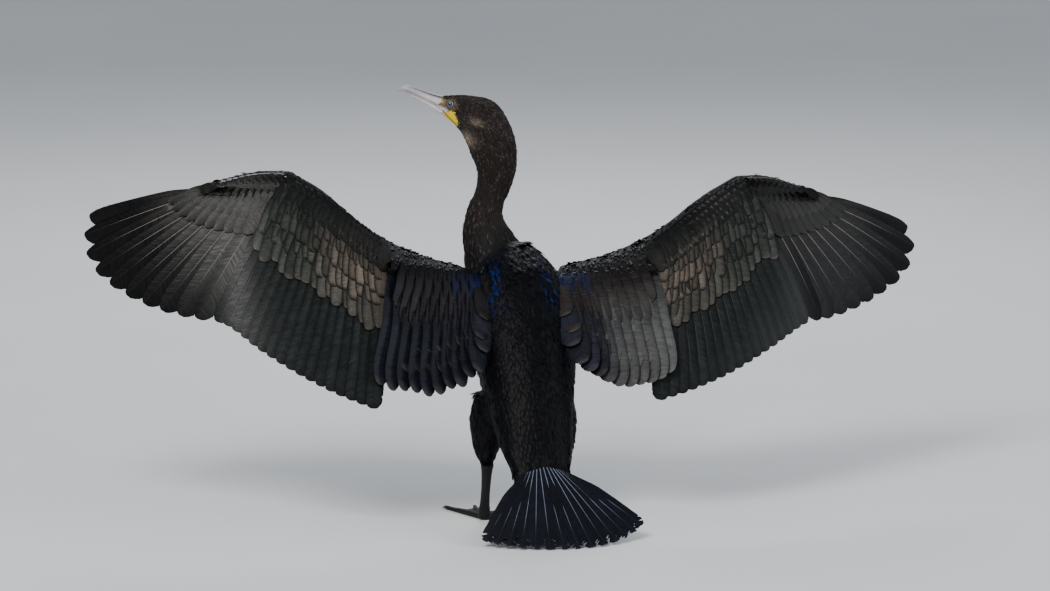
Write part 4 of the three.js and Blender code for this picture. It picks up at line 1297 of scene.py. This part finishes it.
def mandible(name, rows, node, upper):
    steps, sides = 70, 40
    points, tints = [], []
    for k in range(steps + 1):
        ahead, wide, top, bottom = (column_at(rows, c, k / steps * (len(rows) - 1)) for c in range(4))
        middle, tall = (top + bottom) / 2, (top - bottom) / 2
        worn = 0.75 * smoothstep(20, 60, ahead)
        for out, rise in circle(sides):
            narrow = 1 - 0.22 * max(rise, 0) ** 2 if upper else 1 - 0.15 * max(-rise, 0) ** 2
            groove = GROOVE * math.exp(-(((rise - 0.42) / 0.12) ** 2)) * smoothstep(2, 8, ahead)
            groove *= (1 - smoothstep(50, 56, ahead)) * upper
            left = math.copysign(abs(out) ** 0.9, out) * wide * narrow - math.copysign(groove, out)
            points.append(on_head(ahead, left, middle + rise * tall))
            ridge = smoothstep(0.35, 0.7, rise) * (1 - smoothstep(54, 60, ahead)) if upper else 0
            tint = mix(BILL_PALE, BILL_RIDGE, 0.92 * ridge)
            tint = mix(tint, BILL_PALE * BILL_GROOVE, 0.5 * (groove > 0.2))
            tints.append(mix(tint, BILL_PALE * BILL_WORN, worn))
    tinted_piece(name, points, ring_faces(steps + 1, sides), tints, bill_finish, "bill", node)


PUPIL, IRIS_EDGE = 36, 53  # degrees from the middle of the eye
CORNEA = 0.035


def eye(name, left, node):
    """An eyeball whose rings run round its outward axis, with pupil, iris and dark rim."""
    outward = unit(-HEAD_SIDE * left + HEAD_AHEAD * 0.18)
    first = unit(np.cross(outward, UP))
    second = np.cross(outward, first)
    rows, sides = 40, 48
    points, tints = [], []
    for k in range(rows + 1):
        angle = math.pi * mix(0.002, 0.995, k / rows)
        degrees = math.degrees(angle)
        radius = 1 + CORNEA * math.exp(-((degrees / 38) ** 2))
        if degrees < PUPIL:
            tint = PUPIL_BLACK
        elif degrees < IRIS_EDGE:
            tint = IRIS * mix(1.25, 0.8, (degrees - PUPIL) / (IRIS_EDGE - PUPIL))
        else:
            tint = EYE_DARK
        for c, s in circle(sides):
            way = outward * math.cos(angle) + (first * c + second * s) * math.sin(angle)
            points.append(eye_centre(left) + way * EYE_R * radius)
            tints.append(tint)
    tinted_piece(name, points, ring_faces(rows + 1, sides), tints, eye_finish, "eye", node)


def ring_tube(name, centres, sizes, tint, closed):
    """A tube along points on the head, joined end to end where it is closed."""
    count, sides = len(centres), 8
    points = []
    for k in range(count):
        before = centres[k - 1] if closed or k else centres[0]
        after = centres[(k + 1) % count] if closed or k + 1 < count else centres[k]
        run = unit(after - before)
        side = unit(np.cross(run, HEAD_SIDE))
        other = np.cross(run, side)
        points += [centres[k] + (side * c + other * s) * sizes[k] for c, s in circle(sides)]
    faces = ring_faces(count, sides)
    if closed:
        start = (count - 1) * sides
        faces[-2:] = [(start + k, start + (k + 1) % sides, (k + 1) % sides, k) for k in range(sides)]
    tinted_piece(name, points, faces, np.tile(tint, (len(points), 1)), bill_finish, "head_plumage")


def eyelids(name, left):
    """A wrinkled rim round the eye."""
    centre = eye_centre(left) - HEAD_SIDE * left * EYE_R * 0.5
    centres, sizes = [], []
    for k in range(48):
        a = 2 * math.pi * k / 48
        reach = EYE_R * 0.93 + 0.12 * math.sin(9 * a)
        centres.append(centre + HEAD_AHEAD * math.cos(a) * reach + BILL_UP * math.sin(a) * reach * 0.94)
        sizes.append(0.85 + 0.12 * math.sin(16 * a))
    ring_tube(name, centres, sizes, HEAD_BROWN * 1.5, True)


skin_tree = BVHTree.FromPolygons([tuple(p) for p in skin_points],
                                 [tuple(f.vertices) for f in skin.data.polygons])


def mouth_line(name, left):
    """The dark seam that runs back from the bill through the bare skin."""
    centres = []
    for t in np.linspace(0, 1, 24):
        start = on_head(mix(1, -27, t), left * 40, mix(-7.0, -20.5, t**0.9))
        hit = skin_tree.ray_cast(Vector(start), Vector(HEAD_SIDE * left))[0]
        if hit is not None:
            centres.append(np.array(hit))
    sizes = np.interp(np.linspace(0, 1, len(centres)), [0, 0.1, 0.9, 1], [0.5, 0.7, 0.6, 0.2])
    ring_tube(name, centres, sizes, MOUTH_DARK, False)


bill_finish, eye_finish = horn_material(), eye_material()
mandible("upper_mandible", UPPER_BILL, "bill_upper", True)
mandible("lower_mandible", LOWER_BILL, "bill_lower", False)
for label, left in (("left", 1), ("right", -1)):
    eye(f"eyeball_{label}", left, f"eye_{label}")
    eyelids(f"eyelids_{label}", left)
    mouth_line(f"mouth_line_{label}", left)

# The solids' own legs, feet and claws take their finish

feet_finish, claw_finish = scaled_skin_material(), claw_material()
for node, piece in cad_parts.items():
    if node.startswith(("foot_", "shank_")):
        piece.data.materials[0] = feet_finish
    if node.startswith("claw_"):
        piece.data.materials[0] = claw_finish

# Floor, light and camera

mesh = bpy.data.meshes.new("floor")
mesh.from_pydata([(-6, -6, 0), (6, -6, 0), (6, 14, 0), (-6, 14, 0)], [], [(0, 1, 2, 3)])
mesh.materials.append(floor_material())
add_object("floor", mesh)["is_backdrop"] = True

world = bpy.data.worlds.new("studio")
world.use_nodes = True
background = world.node_tree.nodes["Background"]
background.inputs["Color"].default_value = (0.86, 0.92, 1.0, 1)
background.inputs["Strength"].default_value = 0.42
bpy.context.scene.world = world

VIEW_RIGHT = unit(vec(0.970, -0.242, 0))
VIEW_UP = unit(vec(0.042, 0.168, 0.985))
VIEW_AHEAD = unit(vec(0.238, 0.955, -0.174))
IMAGE_SIZE = (1050, 591)
FEET_AT = (530, 518)  # the pixel where the point between the feet shows
MM_PER_PIXEL = 1.4
DISTANCE = 10.0
SENSOR = 36


def aim(piece, place, target):
    piece.location = place
    piece.rotation_euler = (Vector(target) - Vector(place)).to_track_quat("-Z", "Y").to_euler()


def area_light(name, place, size, power, colour):
    light = bpy.data.lights.new(name, "AREA")
    light.size = size
    light.energy = power
    light.color = colour
    aim(add_object(name, light), place, (0, 0.05, 0.35))


area_light("key", (-1.8, -2.4, 3.0), 1.3, 120, (1.0, 0.98, 0.95))
area_light("fill", (2.8, -1.8, 1.6), 2.0, 40, (0.92, 0.96, 1.0))
area_light("back", (0.6, 2.6, 2.4), 1.4, 45, (0.95, 0.98, 1.0))

aside, above = IMAGE_SIZE[0] / 2 - FEET_AT[0], FEET_AT[1] - IMAGE_SIZE[1] / 2
target = to_frame(VIEW_RIGHT * aside * MM_PER_PIXEL + VIEW_UP * above * MM_PER_PIXEL)
camera_data = bpy.data.cameras.new("camera")
camera_data.sensor_width = SENSOR
camera_data.lens = SENSOR * DISTANCE * MM / (IMAGE_SIZE[0] * MM_PER_PIXEL)
camera = add_object("camera", camera_data)
aim(camera, tuple(target - VIEW_AHEAD * DISTANCE), tuple(target))
bpy.context.scene.camera = camera

boxes = {"cad": cad_bounds, "visual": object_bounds()}
{key: [[float(v) for v in corner] for corner in box] for key, box in boxes.items()}
